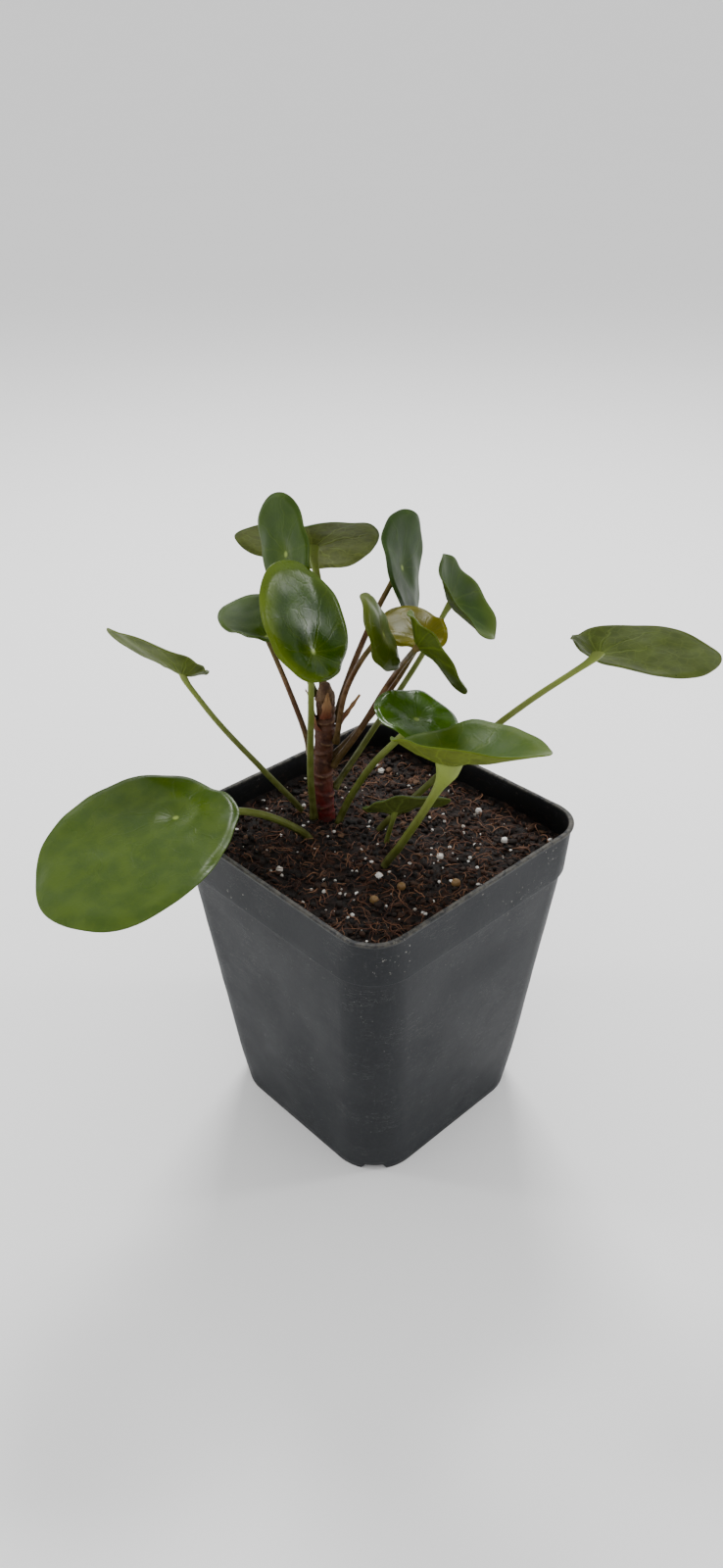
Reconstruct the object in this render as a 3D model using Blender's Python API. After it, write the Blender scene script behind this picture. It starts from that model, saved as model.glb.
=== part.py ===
"""A young round-leaved foliage plant in a square nursery pot.

Metres, +Z up. The origin is the middle of the pot's flat underside, and the pot's sides face along X and Y.
The plant is fifteen shield-shaped blades, each on its own stalk, a short woody stem, three papery scales and
the stub of a shed stalk. Every plant position is measured from the soil's level at the middle of the pot.
"""

import math
from collections import namedtuple

import bmesh
import bpy
import numpy as np
from mathutils import Vector

MM = 0.001

# Pot
POT_HEIGHT = 0.1147
RIM_SIDE = 0.100
RIM_CORNER = 0.0128
BAND_HEIGHT = 0.0174
BAND_SIDE = 0.0994
BAND_CORNER = 0.0165
SHOULDER_SIDE = 0.0972
BODY_CORNER = 0.0150
FOOT_HEIGHT = 0.0138
BASE_SIDE = 0.0784
BASE_CORNER = 0.0170
POT_WALL = 0.0011
FLOOR_THICKNESS = 0.0014
BEAD_HEIGHT = 0.0014
BEAD_DEPTH = 0.0005
NOTCH_WIDTH = 0.0075
NOTCH_HEIGHT = 0.0024
NOTCH_REACH = 0.009
CORNER_STEPS = 5

# Soil
SOIL_DROP = 0.0113
SOIL_SWELL = 0.0012
SOIL_RINGS = 7
SOIL_SIDE_STEPS = 4

# Gap left between pieces that touch
CLEARANCE = 0.0003

# Stem
STEM_X = -0.0239
STEM_Y = -0.0016
STEM_HEIGHT = 0.053
STEM_DIAMETER = 0.0070
STEM_BURIED = 0.010
STEM_SIDES = 12
RING_SWELL = 1.06

# Leaves
BLADE_THICKNESS = 0.0008
BLADE_SPOKES = 24
BLADE_RINGS = (0.3, 0.6, 0.85, 1.0)
DIMPLE_DEPTH = 0.0016
DIMPLE_RADIUS = 0.005
STALK_BURIED = 0.005
STALK_SIDES = 8
STALK_STRIDE = 0.0045
STALK_TAPER = 0.8

# Papery scales round the crown, and grains that lie loose on the soil
SCALE_LENGTH = 0.011
SCALE_WIDTH = 0.0032
SCALE_THICKNESS = 0.0005
SCALE_PLACES = ((0.037, -1.75), (0.040, -2.35), (0.042, -0.66))
STUB_LENGTH = 0.0126
STUB_DIAMETER = 0.0018
STUB_HEIGHT = 0.038
STUB_HEADING = 0.85
PERLITE_SIZE = 0.0026
PRILL_SIZE = 0.0032

# Places of the grains on the soil, in millimetres from the middle of the pot
PERLITE = ((15, -13), (21, 9), (30, 31), (-31, 33), (-10, -34), (12, 38))
PRILLS = ((35, 1.5), (23, -23), (24, -12))

GREEN = (0.075, 0.20, 0.012)
BRONZE = (0.16, 0.17, 0.02)
STALK_GREEN = (0.14, 0.22, 0.04)
STALK_BROWN = (0.17, 0.085, 0.035)

# A leaf's root is its place on the soil (x, y) or on the stem (height, heading in degrees). Places are in
# millimetres from the soil's level at the middle of the pot, and angles are in degrees. heading and rise say
# which way the blade's upper face looks, and turn says how far its tip is turned from straight downhill.
# back is the share of the length that lies behind the stalk. lift is how far the edge stands above the stalk's
# end at the tip, on the left, at the back and on the right. lobes swells the outline: (count, share, degrees).
Leaf = namedtuple(
    "Leaf", "name root via end heading rise turn length width back lift stalk colour stalk_colour lobes"
)

LEAVES = (
    Leaf("far_left", ("soil", -31, -5), ((-40, -15, 19), (-50, -24, 36)),
         (-59, -31, 54), 110, 45, 100, 36, 33, 0.2, (5, 2, 3, 3), 2.2, GREEN, STALK_GREEN, ()),
    Leaf("top_left", ("stem", 49, 190), ((-33, -4, 67),),
         (-40, 0, 92), -100, 15, 40, 40, 28, 0.5, (1, 0, 1, -1), 2.2, GREEN, STALK_GREEN, ()),
    Leaf("centre", ("stem", 5, -90), ((-22, -9, 22), (-17, -12, 50)),
         (-13, -14, 72), 10, 32, 180, 38, 32, 0.25, (2, 1, 1, 2), 2.4, GREEN, STALK_GREEN, ()),
    Leaf("top_back", ("stem", 46, 146), ((-33, 7, 60), (-44, 17, 71)),
         (-56, 24, 84), 135, 48, 175, 40, 48, 0.5, (-1, 1, -1, 1), 2.8, GREEN, STALK_GREEN, ((3, 0.1, 170),)),
    Leaf("mid_left", ("stem", 28, -135), ((-29, -5, 35), (-36, -6, 50)),
         (-46, -5, 63), -135, 85, -68, 38, 25, 0.2, (2, 3, 2, 3), 2.0, GREEN, STALK_BROWN, ()),
    Leaf("top_right", ("stem", 39, 85), ((-23, 8, 48), (-26, 24, 67)),
         (-28, 39, 80), 30, 18, -55, 39, 34, 0.5, (2, -2, 4, 0), 2.2, GREEN, STALK_BROWN, ()),
    Leaf("right_upper", ("stem", 14, 60), ((-18, 15, 30), (-11, 32, 56)),
         (-6, 40, 74), 35, 37, 0, 32, 28, 0.45, (5, 5, 5, 5), 2.2, GREEN, STALK_GREEN, ()),
    Leaf("young_bronze", ("stem", 25, 78), ((-18, 10, 34), (-8, 15, 51)),
         (2, 18, 71), -90, 78, -108, 28, 18, 0.35, (1, 1, 1, 1), 2.0, BRONZE, STALK_BROWN, ()),
    Leaf("right_middle", ("stem", 24, 28), ((-13, 5, 37), (-6, 11, 54), (8, 5, 70)),
         (20, -2, 81), 65, 30, 10, 31, 26, 0.3, (2, 3, 2, 4), 2.2, GREEN, STALK_BROWN, ()),
    Leaf("young_narrow", ("stem", 34, 12), ((-13, -1, 53), (-3, -3, 69)),
         (7, -4, 81), 45, 25, 5, 25, 20, 0.55, (-1, 0, -1, -4), 2.0, GREEN, STALK_BROWN, ()),
    Leaf("far_right", ("soil", -5, 6), ((6, 10, 16), (24, 35, 45)),
         (41, 58, 66), 125, 37, -98, 46, 38, 0.2, (-3, 4, 4, -1), 2.4, GREEN, STALK_GREEN, ()),
    Leaf("right_low", ("soil", -18, -1), ((-6, 2, 26),),
         (10, 8, 49), 5, 76, 15, 28, 26, 0.5, (-1, 0, 1, 2), 2.6, GREEN, STALK_GREEN, ()),
    Leaf("front_funnel", ("soil", 11, -7), ((20, -8, 15), (31, -8, 35)),
         (39, -8, 52), 135, 70, -125, 47, 40, 0.36, (5, 9, 5, 9), 2.8, GREEN, STALK_GREEN, ()),
    Leaf("soil_small", ("soil", 2, 3), ((6, 1, 10),),
         (10, -1, 19), 137, 43, -120, 30, 15, 0.35, (0.5, 0.5, 0.5, 0.5), 1.8, GREEN, STALK_GREEN,
         ((1, 0.3, -90),)),
    Leaf("left_large", ("soil", -17, -14), ((-18, -21, 9), (-22, -38, 21)),
         (-28, -59, 25), -90, 79, 2, 66, 60, 0.25, (-2, 1, 0, 2), 2.8, GREEN, STALK_GREEN,
         ((3, 0.03, 20), (4, 0.03, 45))),
)


def clear_scene():
    for thing in list(bpy.data.objects):
        bpy.data.objects.remove(thing, do_unlink=True)


def material(name, colour, roughness, metallic=0.0):
    found = bpy.data.materials.get(name)
    if found:
        return found
    made = bpy.data.materials.new(name)
    made.use_nodes = True
    shader = made.node_tree.nodes["Principled BSDF"]
    shader.inputs["Base Color"].default_value = (*colour, 1.0)
    shader.inputs["Roughness"].default_value = roughness
    shader.inputs["Metallic"].default_value = metallic
    made.diffuse_color = (*colour, 1.0)
    return made


def add_object(name, vertices, faces, finish, smooth=True, sharp_angle=50.0):
    mesh = bpy.data.meshes.new(name)
    mesh.from_pydata([tuple(v) for v in vertices], [], faces)
    mesh.update()
    thing = bpy.data.objects.new(name, mesh)
    bpy.context.scene.collection.objects.link(thing)
    mesh.materials.append(finish)
    if smooth:
        mesh.shade_smooth()
        mesh.set_sharp_from_angle(angle=math.radians(sharp_angle))
    return thing


def ring_faces(ring_count, size, closed_ends=True):
    """Quads between stacked rings of equal size, with a polygon over each end."""
    faces = []
    for ring in range(ring_count - 1):
        for k in range(size):
            after = (k + 1) % size
            low, high = ring * size, (ring + 1) * size
            faces.append((low + k, low + after, high + after, high + k))
    if closed_ends:
        faces.append(tuple(reversed(range(size))))
        faces.append(tuple((ring_count - 1) * size + k for k in range(size)))
    return faces


def smooth_path(points, stride):
    """Points a stride apart along the smooth curve through the given points (Catmull-Rom, centripetal)."""
    pts = np.array(points, float)
    pts = np.vstack([2 * pts[0] - pts[1], pts, 2 * pts[-1] - pts[-2]])
    dense = []
    for k in range(1, len(pts) - 2):
        p0, p1, p2, p3 = pts[k - 1], pts[k], pts[k + 1], pts[k + 2]
        t0 = 0.0
        t1 = t0 + math.sqrt(np.linalg.norm(p1 - p0))
        t2 = t1 + math.sqrt(np.linalg.norm(p2 - p1))
        t3 = t2 + math.sqrt(np.linalg.norm(p3 - p2))
        for t in np.linspace(t1, t2, 24, endpoint=False):
            a1 = (t1 - t) / (t1 - t0) * p0 + (t - t0) / (t1 - t0) * p1
            a2 = (t2 - t) / (t2 - t1) * p1 + (t - t1) / (t2 - t1) * p2
            a3 = (t3 - t) / (t3 - t2) * p2 + (t - t2) / (t3 - t2) * p3
            b1 = (t2 - t) / (t2 - t0) * a1 + (t - t0) / (t2 - t0) * a2
            b2 = (t3 - t) / (t3 - t1) * a2 + (t - t1) / (t3 - t1) * a3
            dense.append((t2 - t) / (t2 - t1) * b1 + (t - t1) / (t2 - t1) * b2)
    dense.append(pts[-2])
    dense = np.array(dense)
    steps = np.linalg.norm(np.diff(dense, axis=0), axis=1)
    along = np.concatenate([[0.0], np.cumsum(steps)])
    count = max(4, int(round(along[-1] / stride)) + 1)
    where = np.linspace(0.0, along[-1], count)
    return np.column_stack([np.interp(where, along, dense[:, axis]) for axis in range(3)])


def tube(path, radii, sides, end_normal=None):
    """A closed tube whose section is carried along the path without twisting. end_normal turns its last end."""
    path = np.asarray(path, float)
    tangents = np.gradient(path, axis=0)
    tangents /= np.linalg.norm(tangents, axis=1)[:, None]
    if end_normal is not None:
        tangents[-1] = end_normal
    helper = np.array([1.0, 0.0, 0.0]) if abs(tangents[0][0]) < 0.8 else np.array([0.0, 1.0, 0.0])
    across = np.cross(tangents[0], helper)
    vertices = []
    for centre, tangent, radius in zip(path, tangents, radii):
        across = across - tangent * across.dot(tangent)
        across = across / np.linalg.norm(across)
        other = np.cross(tangent, across)
        for k in range(sides):
            angle = 2 * math.pi * k / sides
            vertices.append(centre + radius * (math.cos(angle) * across + math.sin(angle) * other))
    return vertices, ring_faces(len(path), sides)


def soil_level():
    return POT_HEIGHT - SOIL_DROP


def body_side(z):
    """Outer side of the tapered body at height z."""
    share = z / (POT_HEIGHT - BAND_HEIGHT)
    return BASE_SIDE + (SHOULDER_SIDE - BASE_SIDE) * share


def rounded_square(side, corner, z, side_steps=1):
    """A ring of points round a square with round corners, counterclockwise. Each side is in side_steps parts."""
    half = side / 2 - corner
    ring = []
    for quarter in range(4):
        start = quarter * math.pi / 2
        centre_x = half if quarter in (0, 3) else -half
        centre_y = half if quarter in (0, 1) else -half
        for step in range(CORNER_STEPS + 1):
            angle = start + step * math.pi / 2 / CORNER_STEPS
            ring.append((centre_x + corner * math.cos(angle), centre_y + corner * math.sin(angle), z))
        turn_x, turn_y = -math.sin(start + math.pi / 2), math.cos(start + math.pi / 2)
        last_x, last_y = ring[-1][0], ring[-1][1]
        for step in range(1, side_steps):
            share = 2 * half * step / side_steps
            ring.append((last_x + turn_x * share, last_y + turn_y * share, z))
    return ring


def pot_outside():
    """Heights, sides and corner radii of the pot's outer face, from the floor up to the rim."""
    band_foot = POT_HEIGHT - BAND_HEIGHT
    return (
        (0.0, BASE_SIDE, BASE_CORNER),
        (FOOT_HEIGHT, body_side(FOOT_HEIGHT), BODY_CORNER),
        (band_foot, SHOULDER_SIDE, BODY_CORNER),
        (band_foot + 0.4 * POT_WALL, BAND_SIDE, BAND_CORNER),
        (POT_HEIGHT - BEAD_HEIGHT, RIM_SIDE - 2 * BEAD_DEPTH, RIM_CORNER),
        (POT_HEIGHT - 0.7 * BEAD_HEIGHT, RIM_SIDE, RIM_CORNER),
        (POT_HEIGHT, RIM_SIDE, RIM_CORNER),
    )


def pot_inside():
    """The same for the inner face, from the rim down to the floor."""
    band_foot = POT_HEIGHT - BAND_HEIGHT
    return (
        (POT_HEIGHT, RIM_SIDE - 2 * (POT_WALL + BEAD_DEPTH), RIM_CORNER - POT_WALL),
        (band_foot + POT_WALL, BAND_SIDE - 2 * POT_WALL, BAND_CORNER - POT_WALL),
        (band_foot - POT_WALL, SHOULDER_SIDE - 2 * POT_WALL, BODY_CORNER - POT_WALL),
        (FOOT_HEIGHT, body_side(FOOT_HEIGHT) - 2 * POT_WALL, BODY_CORNER - POT_WALL),
        (FLOOR_THICKNESS, body_side(FLOOR_THICKNESS) - 2 * POT_WALL, BASE_CORNER - POT_WALL),
    )


def build_pot():
    profile = pot_outside() + pot_inside()
    vertices = []
    for z, side, corner in profile:
        vertices += rounded_square(side, corner, z)
    size = 4 * (CORNER_STEPS + 1)
    finish = material("pot_plastic", (0.045, 0.048, 0.052), 0.55)
    pot = add_object("pot", vertices, ring_faces(len(profile), size), finish, sharp_angle=35)
    for quarter in range(4):
        cut(pot, drain_notch(quarter))
    return pot


def drain_notch(quarter):
    """A block across one bottom corner, where water leaves the pot."""
    angle = math.pi / 4 + quarter * math.pi / 2
    out = Vector((math.cos(angle), math.sin(angle), 0))
    side = Vector((-math.sin(angle), math.cos(angle), 0)) * NOTCH_WIDTH / 2
    edge = math.sqrt(2) * (BASE_SIDE / 2 - BASE_CORNER) + BASE_CORNER
    near, far = out * (edge - NOTCH_REACH), out * (edge + NOTCH_REACH)
    low, high = Vector((0, 0, -NOTCH_HEIGHT)), Vector((0, 0, NOTCH_HEIGHT))
    corners = [near - side, far - side, far + side, near + side]
    vertices = [c + low for c in corners] + [c + high for c in corners]
    return helper_block(f"notch_{quarter}", vertices, 4)


def helper_block(name, vertices, size):
    mesh = bpy.data.meshes.new(name)
    mesh.from_pydata([tuple(v) for v in vertices], [], ring_faces(len(vertices) // size, size))
    block = bpy.data.objects.new(name, mesh)
    bpy.context.scene.collection.objects.link(block)
    block.hide_render = True
    block.display_type = "WIRE"
    return block


def cut(body, tool):
    boolean = body.modifiers.new(tool.name, "BOOLEAN")
    boolean.operation = "DIFFERENCE"
    boolean.object = tool
    boolean.solver = "EXACT"


def inner_outline(z):
    """Side and corner of the pot's inner face at height z, read between its rings."""
    rings = sorted(pot_inside())
    heights = [r[0] for r in rings]
    return (
        float(np.interp(z, heights, [r[1] for r in rings])),
        float(np.interp(z, heights, [r[2] for r in rings])),
    )


def soil_wave(x, y):
    """How far the soil's surface stands above its level: a few shallow swells."""
    return SOIL_SWELL * (
        0.5 * math.sin(x / 0.011 + 0.6) * math.cos(y / 0.013) + 0.35 * math.sin((x + 2 * y) / 0.017)
    )


def build_soil():
    rings = []
    fill_from = FLOOR_THICKNESS + CLEARANCE
    heights = [fill_from] + [r[0] for r in sorted(pot_inside()) if fill_from < r[0] < soil_level()]
    for z in heights:
        side, corner = inner_outline(z)
        rings.append(rounded_square(side - 2 * CLEARANCE, corner, z, SOIL_SIDE_STEPS))
    sides, corners = zip(*(inner_outline(soil_level() + step * SOIL_SWELL) for step in (-2, 0, 1)))
    side, corner = min(sides) - 2 * CLEARANCE, max(corners)
    for ring in range(SOIL_RINGS):
        share = 1 - ring / SOIL_RINGS
        flat = rounded_square(side * share, corner * share, soil_level(), SOIL_SIDE_STEPS)
        edge_dip = SOIL_SWELL * (1.0 if ring == 0 else 0.0)
        rings.append([(x, y, z + soil_wave(x, y) - edge_dip) for x, y, z in flat])
    size = len(rings[0])
    vertices = [p for ring in rings for p in ring]
    faces = ring_faces(len(rings), size, closed_ends=False)
    faces.append(tuple(reversed(range(size))))
    top = len(vertices)
    vertices.append((0, 0, soil_level() + soil_wave(0, 0)))
    last = (len(rings) - 1) * size
    for k in range(size):
        faces.append((last + k, last + (k + 1) % size, top))
    finish = material("potting_mix", (0.035, 0.022, 0.016), 0.95)
    return add_object("soil", vertices, faces, finish, sharp_angle=60)


def socket(soil, name, path, radius):
    """Makes room in the soil for a piece of this radius that is planted along the path."""
    path = np.array(path)
    above = int(np.argmax(path[:, 2] > soil_level() + 2 * SOIL_SWELL + radius))
    path = path[: above + 1].copy()
    first = path[1] - path[0]
    path[0] -= first / np.linalg.norm(first) * CLEARANCE
    reach = (radius + CLEARANCE) / math.cos(math.pi / STEM_SIDES)
    vertices, _ = tube(path, [reach] * len(path), STEM_SIDES)
    cut(soil, helper_block(name, vertices, STEM_SIDES))


def stem_axis():
    """The stem's line, from its buried end to its top, with a slight lean."""
    level = soil_level()
    shares = np.linspace(0, 1, 15)
    z = level - STEM_BURIED + shares * (STEM_HEIGHT + STEM_BURIED)
    lean = np.clip(shares, 0, 1) ** 2
    x = STEM_X + 0.0010 * lean + 0.0004 * np.sin(shares * 9.0)
    y = STEM_Y + 0.0008 * lean + 0.0004 * np.cos(shares * 8.0)
    return np.column_stack([x, y, z])


def stem_radius(share):
    """Half the stem's thickness: swollen rings where leaves were shed, narrower at the top."""
    base = STEM_DIAMETER / 2
    return base * (1.0 + (RING_SWELL - 1.01) * np.sin(share * 55.0) - 0.12 * share)


def build_stem(soil):
    axis = stem_axis()
    shares = np.linspace(0, 1, len(axis))
    radii = stem_radius(shares)
    radii[-1] *= 0.55
    vertices, faces = tube(axis, radii, STEM_SIDES)
    add_object("main_stem", vertices, faces, material("stem_bark", (0.16, 0.045, 0.025), 0.65))
    socket(soil, "stem_socket", axis, RING_SWELL * STEM_DIAMETER / 2)


def stem_point(height):
    axis = stem_axis()
    z = soil_level() + height
    point = np.array([np.interp(z, axis[:, 2], axis[:, k]) for k in range(3)])
    share = (height + STEM_BURIED) / (STEM_HEIGHT + STEM_BURIED)
    return point, float(stem_radius(share))


def place(point_mm):
    """A point given in millimetres from the soil's level, as a place in metres."""
    return np.array(point_mm, float) * MM + np.array([0, 0, soil_level()])


def blade_axes(leaf):
    """Unit vectors towards the blade's tip, its left side and out of its upper face."""
    heading, rise, turn = (math.radians(a) for a in (leaf.heading, leaf.rise, leaf.turn))
    up = np.array([math.cos(heading) * math.cos(rise), math.sin(heading) * math.cos(rise), math.sin(rise)])
    down = np.array([math.cos(heading) * math.sin(rise), math.sin(heading) * math.sin(rise), -math.cos(rise)])
    tip = down * math.cos(turn) + np.cross(up, down) * math.sin(turn)
    return tip, np.cross(up, tip), up


def outline_radius(leaf, angle):
    """Distance from the stalk to the blade's edge, for an ellipse set forward of the stalk."""
    forward = (0.5 - leaf.back) * leaf.length
    half_length, half_width = leaf.length / 2, leaf.width / 2
    c, s = math.cos(angle), math.sin(angle)
    a = (c / half_length) ** 2 + (s / half_width) ** 2
    b = -2 * forward * c / half_length**2
    q = (forward / half_length) ** 2 - 1
    radius = (-b + math.sqrt(b * b - 4 * a * q)) / (2 * a)
    for count, share, offset in leaf.lobes:
        radius *= 1 + share * math.cos(count * (angle - math.radians(offset)))
    return radius * MM


def edge_lift(leaf, angle):
    """Height of the blade's edge above the stalk's end, blended between its four given values."""
    c, s = math.cos(angle), math.sin(angle)
    tip, left, back, right = leaf.lift
    ahead = tip if c > 0 else back
    beside = left if s > 0 else right
    return (ahead * c * c + beside * s * s) * MM


def build_blade(leaf):
    tip, left, up = blade_axes(leaf)
    end = place(leaf.end)
    half = BLADE_THICKNESS / 2
    top, under = [end + up * half], [end - up * half]
    for share in BLADE_RINGS:
        thin = half * (1.0 if share < 1 else 0.5)
        for k in range(BLADE_SPOKES):
            angle = 2 * math.pi * k / BLADE_SPOKES
            reach = share * outline_radius(leaf, angle)
            height = edge_lift(leaf, angle) * share**2
            height += DIMPLE_DEPTH * (1 - math.exp(-((reach / DIMPLE_RADIUS) ** 2)))
            middle = end + tip * reach * math.cos(angle) + left * reach * math.sin(angle) + up * height
            top.append(middle + up * thin)
            under.append(middle - up * thin)
    faces = []
    shift = len(top)
    for k in range(BLADE_SPOKES):
        after = (k + 1) % BLADE_SPOKES
        faces.append((0, 1 + k, 1 + after))
        faces.append((shift, shift + 1 + after, shift + 1 + k))
        for ring in range(len(BLADE_RINGS) - 1):
            near, far = 1 + ring * BLADE_SPOKES, 1 + (ring + 1) * BLADE_SPOKES
            faces.append((near + k, far + k, far + after, near + after))
            faces.append((shift + near + k, shift + near + after, shift + far + after, shift + far + k))
        edge = 1 + (len(BLADE_RINGS) - 1) * BLADE_SPOKES
        faces.append((edge + k, shift + edge + k, shift + edge + after, edge + after))
    finish = material("young_leaf" if leaf.colour is BRONZE else "leaf", leaf.colour, 0.3)
    add_object("blade_" + leaf.name, top + under, faces, finish, sharp_angle=70)


def stalk_route(leaf):
    """Points that the stalk runs through, from its root to just under the blade."""
    radius = leaf.stalk * MM / 2
    end = place(leaf.end) - blade_axes(leaf)[2] * (BLADE_THICKNESS / 2 + CLEARANCE)
    via = [place(p) for p in leaf.via]
    if leaf.root[0] == "soil":
        surface = place((leaf.root[1], leaf.root[2], 0))
        centre, _ = stem_point(0)
        away = surface - centre
        distance = np.linalg.norm(away)
        surface = centre + away * max(1.0, (RING_SWELL * STEM_DIAMETER / 2 + radius + 2 * CLEARANCE) / distance)
        return [surface - np.array([0, 0, STALK_BURIED]), surface, *via, end]
    height, heading = leaf.root[1] * MM, math.radians(leaf.root[2])
    centre, stem_r = stem_point(height)
    outward = np.array([math.cos(heading), math.sin(heading), 0])
    direction = via[0] - centre
    direction /= np.linalg.norm(direction)
    slant = math.sqrt(max(0.0, 1 - direction.dot(outward) ** 2))
    start = centre + outward * (RING_SWELL * stem_r + 1.5 * CLEARANCE + radius * slant)
    return [start, *via, end]


def build_stalk(leaf, soil):
    path = smooth_path(stalk_route(leaf), STALK_STRIDE)
    radius = leaf.stalk * MM / 2
    radii = radius * np.linspace(1.0, STALK_TAPER, len(path))
    vertices, faces = tube(path, radii, STALK_SIDES, end_normal=blade_axes(leaf)[2])
    name = "stalk_brown" if leaf.stalk_colour is STALK_BROWN else "stalk_green"
    add_object("stalk_" + leaf.name, vertices, faces, material(name, leaf.stalk_colour, 0.45))
    if leaf.root[0] == "soil":
        socket(soil, "socket_" + leaf.name, path, radius)


def build_scale(index, height, heading):
    """A thin dry scale that stands out from the stem, curved like a fingernail."""
    centre, stem_r = stem_point(height)
    outward = np.array([math.cos(heading), math.sin(heading), 0])
    sideways = np.array([-math.sin(heading), math.cos(heading), 0])
    vertices = []
    rows, columns = 5, 5
    for face in (1, -1):
        for row in range(rows):
            along = row / (rows - 1)
            width = SCALE_WIDTH * (1 - 0.85 * along**1.5)
            for column in range(columns):
                across = 2 * column / (columns - 1) - 1
                away = stem_r * RING_SWELL + CLEARANCE + SCALE_THICKNESS + 0.0030 * along
                away -= 0.0005 * across**2 * (1 - along)
                spot = centre + outward * (away + face * SCALE_THICKNESS / 2)
                spot = spot + sideways * across * width / 2
                vertices.append(spot + np.array([0, 0, SCALE_LENGTH * along]))
    faces = []
    shift = rows * columns
    for row in range(rows - 1):
        for column in range(columns - 1):
            a = row * columns + column
            faces.append((a, a + 1, a + columns + 1, a + columns))
            faces.append((shift + a, shift + a + columns, shift + a + columns + 1, shift + a + 1))
    border = [c for c in range(columns)]
    border += [r * columns + columns - 1 for r in range(1, rows)]
    border += [(rows - 1) * columns + c for c in range(columns - 2, -1, -1)]
    border += [r * columns for r in range(rows - 2, 0, -1)]
    for k, a in enumerate(border):
        b = border[(k + 1) % len(border)]
        faces.append((b, a, shift + a, shift + b))
    add_object(f"scale_{index}", vertices, faces, material("dry_scale", (0.30, 0.12, 0.06), 0.6))


def build_stub():
    """The stub that a shed leaf stalk left on the stem."""
    centre, stem_r = stem_point(STUB_HEIGHT)
    outward = np.array([math.cos(STUB_HEADING), math.sin(STUB_HEADING), 0])
    start = centre + outward * (stem_r * RING_SWELL + 1.5 * CLEARANCE + STUB_DIAMETER / 2)
    rise = outward * 0.55 + np.array([0, 0, 0.83])
    path = [start + rise * STUB_LENGTH * share for share in (0, 0.33, 0.67, 1)]
    radii = [STUB_DIAMETER / 2 * r for r in (1.0, 0.9, 0.75, 0.4)]
    vertices, faces = tube(path, radii, STALK_SIDES)
    add_object("stalk_stub", vertices, faces, material("dry_scale", (0.30, 0.12, 0.06), 0.6))


def build_grain(name, x_mm, y_mm, size, squash, finish):
    """A small grain that rests on the soil."""
    x, y = x_mm * MM, y_mm * MM
    mesh = bpy.data.meshes.new(name)
    grain = bmesh.new()
    bmesh.ops.create_icosphere(grain, subdivisions=1, radius=size / 2)
    for vertex in grain.verts:
        p = vertex.co / size
        bump = 1 + squash * math.sin(5 * p.x + x_mm) * math.cos(4 * p.y + y_mm)
        vertex.co = Vector((p.x * bump, p.y * bump, p.z * (1 - squash))) * size
    steps = (-size / 2, 0, size / 2)
    ground = max(soil_wave(x + dx, y + dy) for dx in steps for dy in steps)
    seat = soil_level() + ground + CLEARANCE - min(v.co.z for v in grain.verts)
    bmesh.ops.translate(grain, verts=grain.verts, vec=(x, y, seat))
    grain.to_mesh(mesh)
    grain.free()
    thing = bpy.data.objects.new(name, mesh)
    bpy.context.scene.collection.objects.link(thing)
    mesh.materials.append(finish)
    mesh.shade_smooth()


def build_grains():
    white = material("perlite", (0.72, 0.70, 0.66), 0.9)
    tan = material("prill", (0.42, 0.30, 0.12), 0.5)
    for index, (x, y) in enumerate(PERLITE, 1):
        build_grain(f"perlite_{index}", x, y, PERLITE_SIZE, 0.2, white)
    for index, (x, y) in enumerate(PRILLS, 1):
        build_grain(f"prill_{index}", x, y, PRILL_SIZE, 0.04, tan)


def main():
    clear_scene()
    build_pot()
    soil = build_soil()
    build_stem(soil)
    for leaf in LEAVES:
        build_blade(leaf)
        build_stalk(leaf, soil)
    for index, (height, heading) in enumerate(SCALE_PLACES, 1):
        build_scale(index, height, heading)
    build_stub()
    build_grains()


main()
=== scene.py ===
"""Looks for a young round-leaved plant in a square nursery pot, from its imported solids. Metres, +Z up."""

import math
from collections import namedtuple

import bmesh
import bpy
import numpy as np
from mathutils import Matrix, Vector


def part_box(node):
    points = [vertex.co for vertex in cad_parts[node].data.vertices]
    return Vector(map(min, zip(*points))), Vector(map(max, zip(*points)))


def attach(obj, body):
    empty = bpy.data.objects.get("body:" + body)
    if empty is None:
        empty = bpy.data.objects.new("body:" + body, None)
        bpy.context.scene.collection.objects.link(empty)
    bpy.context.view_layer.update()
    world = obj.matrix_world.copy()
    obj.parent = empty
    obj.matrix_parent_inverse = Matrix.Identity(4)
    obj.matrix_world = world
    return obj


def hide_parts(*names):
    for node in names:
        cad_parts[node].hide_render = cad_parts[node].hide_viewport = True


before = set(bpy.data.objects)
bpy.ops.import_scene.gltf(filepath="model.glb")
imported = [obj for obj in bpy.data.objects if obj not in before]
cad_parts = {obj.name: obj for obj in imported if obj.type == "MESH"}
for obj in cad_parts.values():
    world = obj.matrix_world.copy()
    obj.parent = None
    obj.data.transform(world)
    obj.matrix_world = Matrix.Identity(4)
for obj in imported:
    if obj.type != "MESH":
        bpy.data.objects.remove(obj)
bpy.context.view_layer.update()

MM = 0.001
TURN = 2 * math.pi
UP = np.array([0.0, 0.0, 1.0])

# The camera: heading and height in degrees, distance, lift and sideways shift in metres, roll in radians
# and focal length in millimetres.
VIEW_HEADING = 46.8
VIEW_HEIGHT = 32.127
VIEW_DISTANCE = 0.3738
VIEW_LIFT = 0.12795
VIEW_SIDE = -0.00459
VIEW_ROLL = -0.0093
LENS = 26.416

# The light: how strongly the surround glows, and each soft panel's name, heading and height in degrees,
# distance, width and height in metres, and power in watts.
WORLD_STRENGTH = 1.15
PANELS = (
    ("panel_left", 222, 20, 1.1, 0.14, 0.45, 3.2),
    ("panel_right", 52, 15, 1.1, 0.14, 0.45, 4.5),
    ("panel_back", 134, 50, 1.1, 0.34, 0.20, 10),
)

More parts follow.
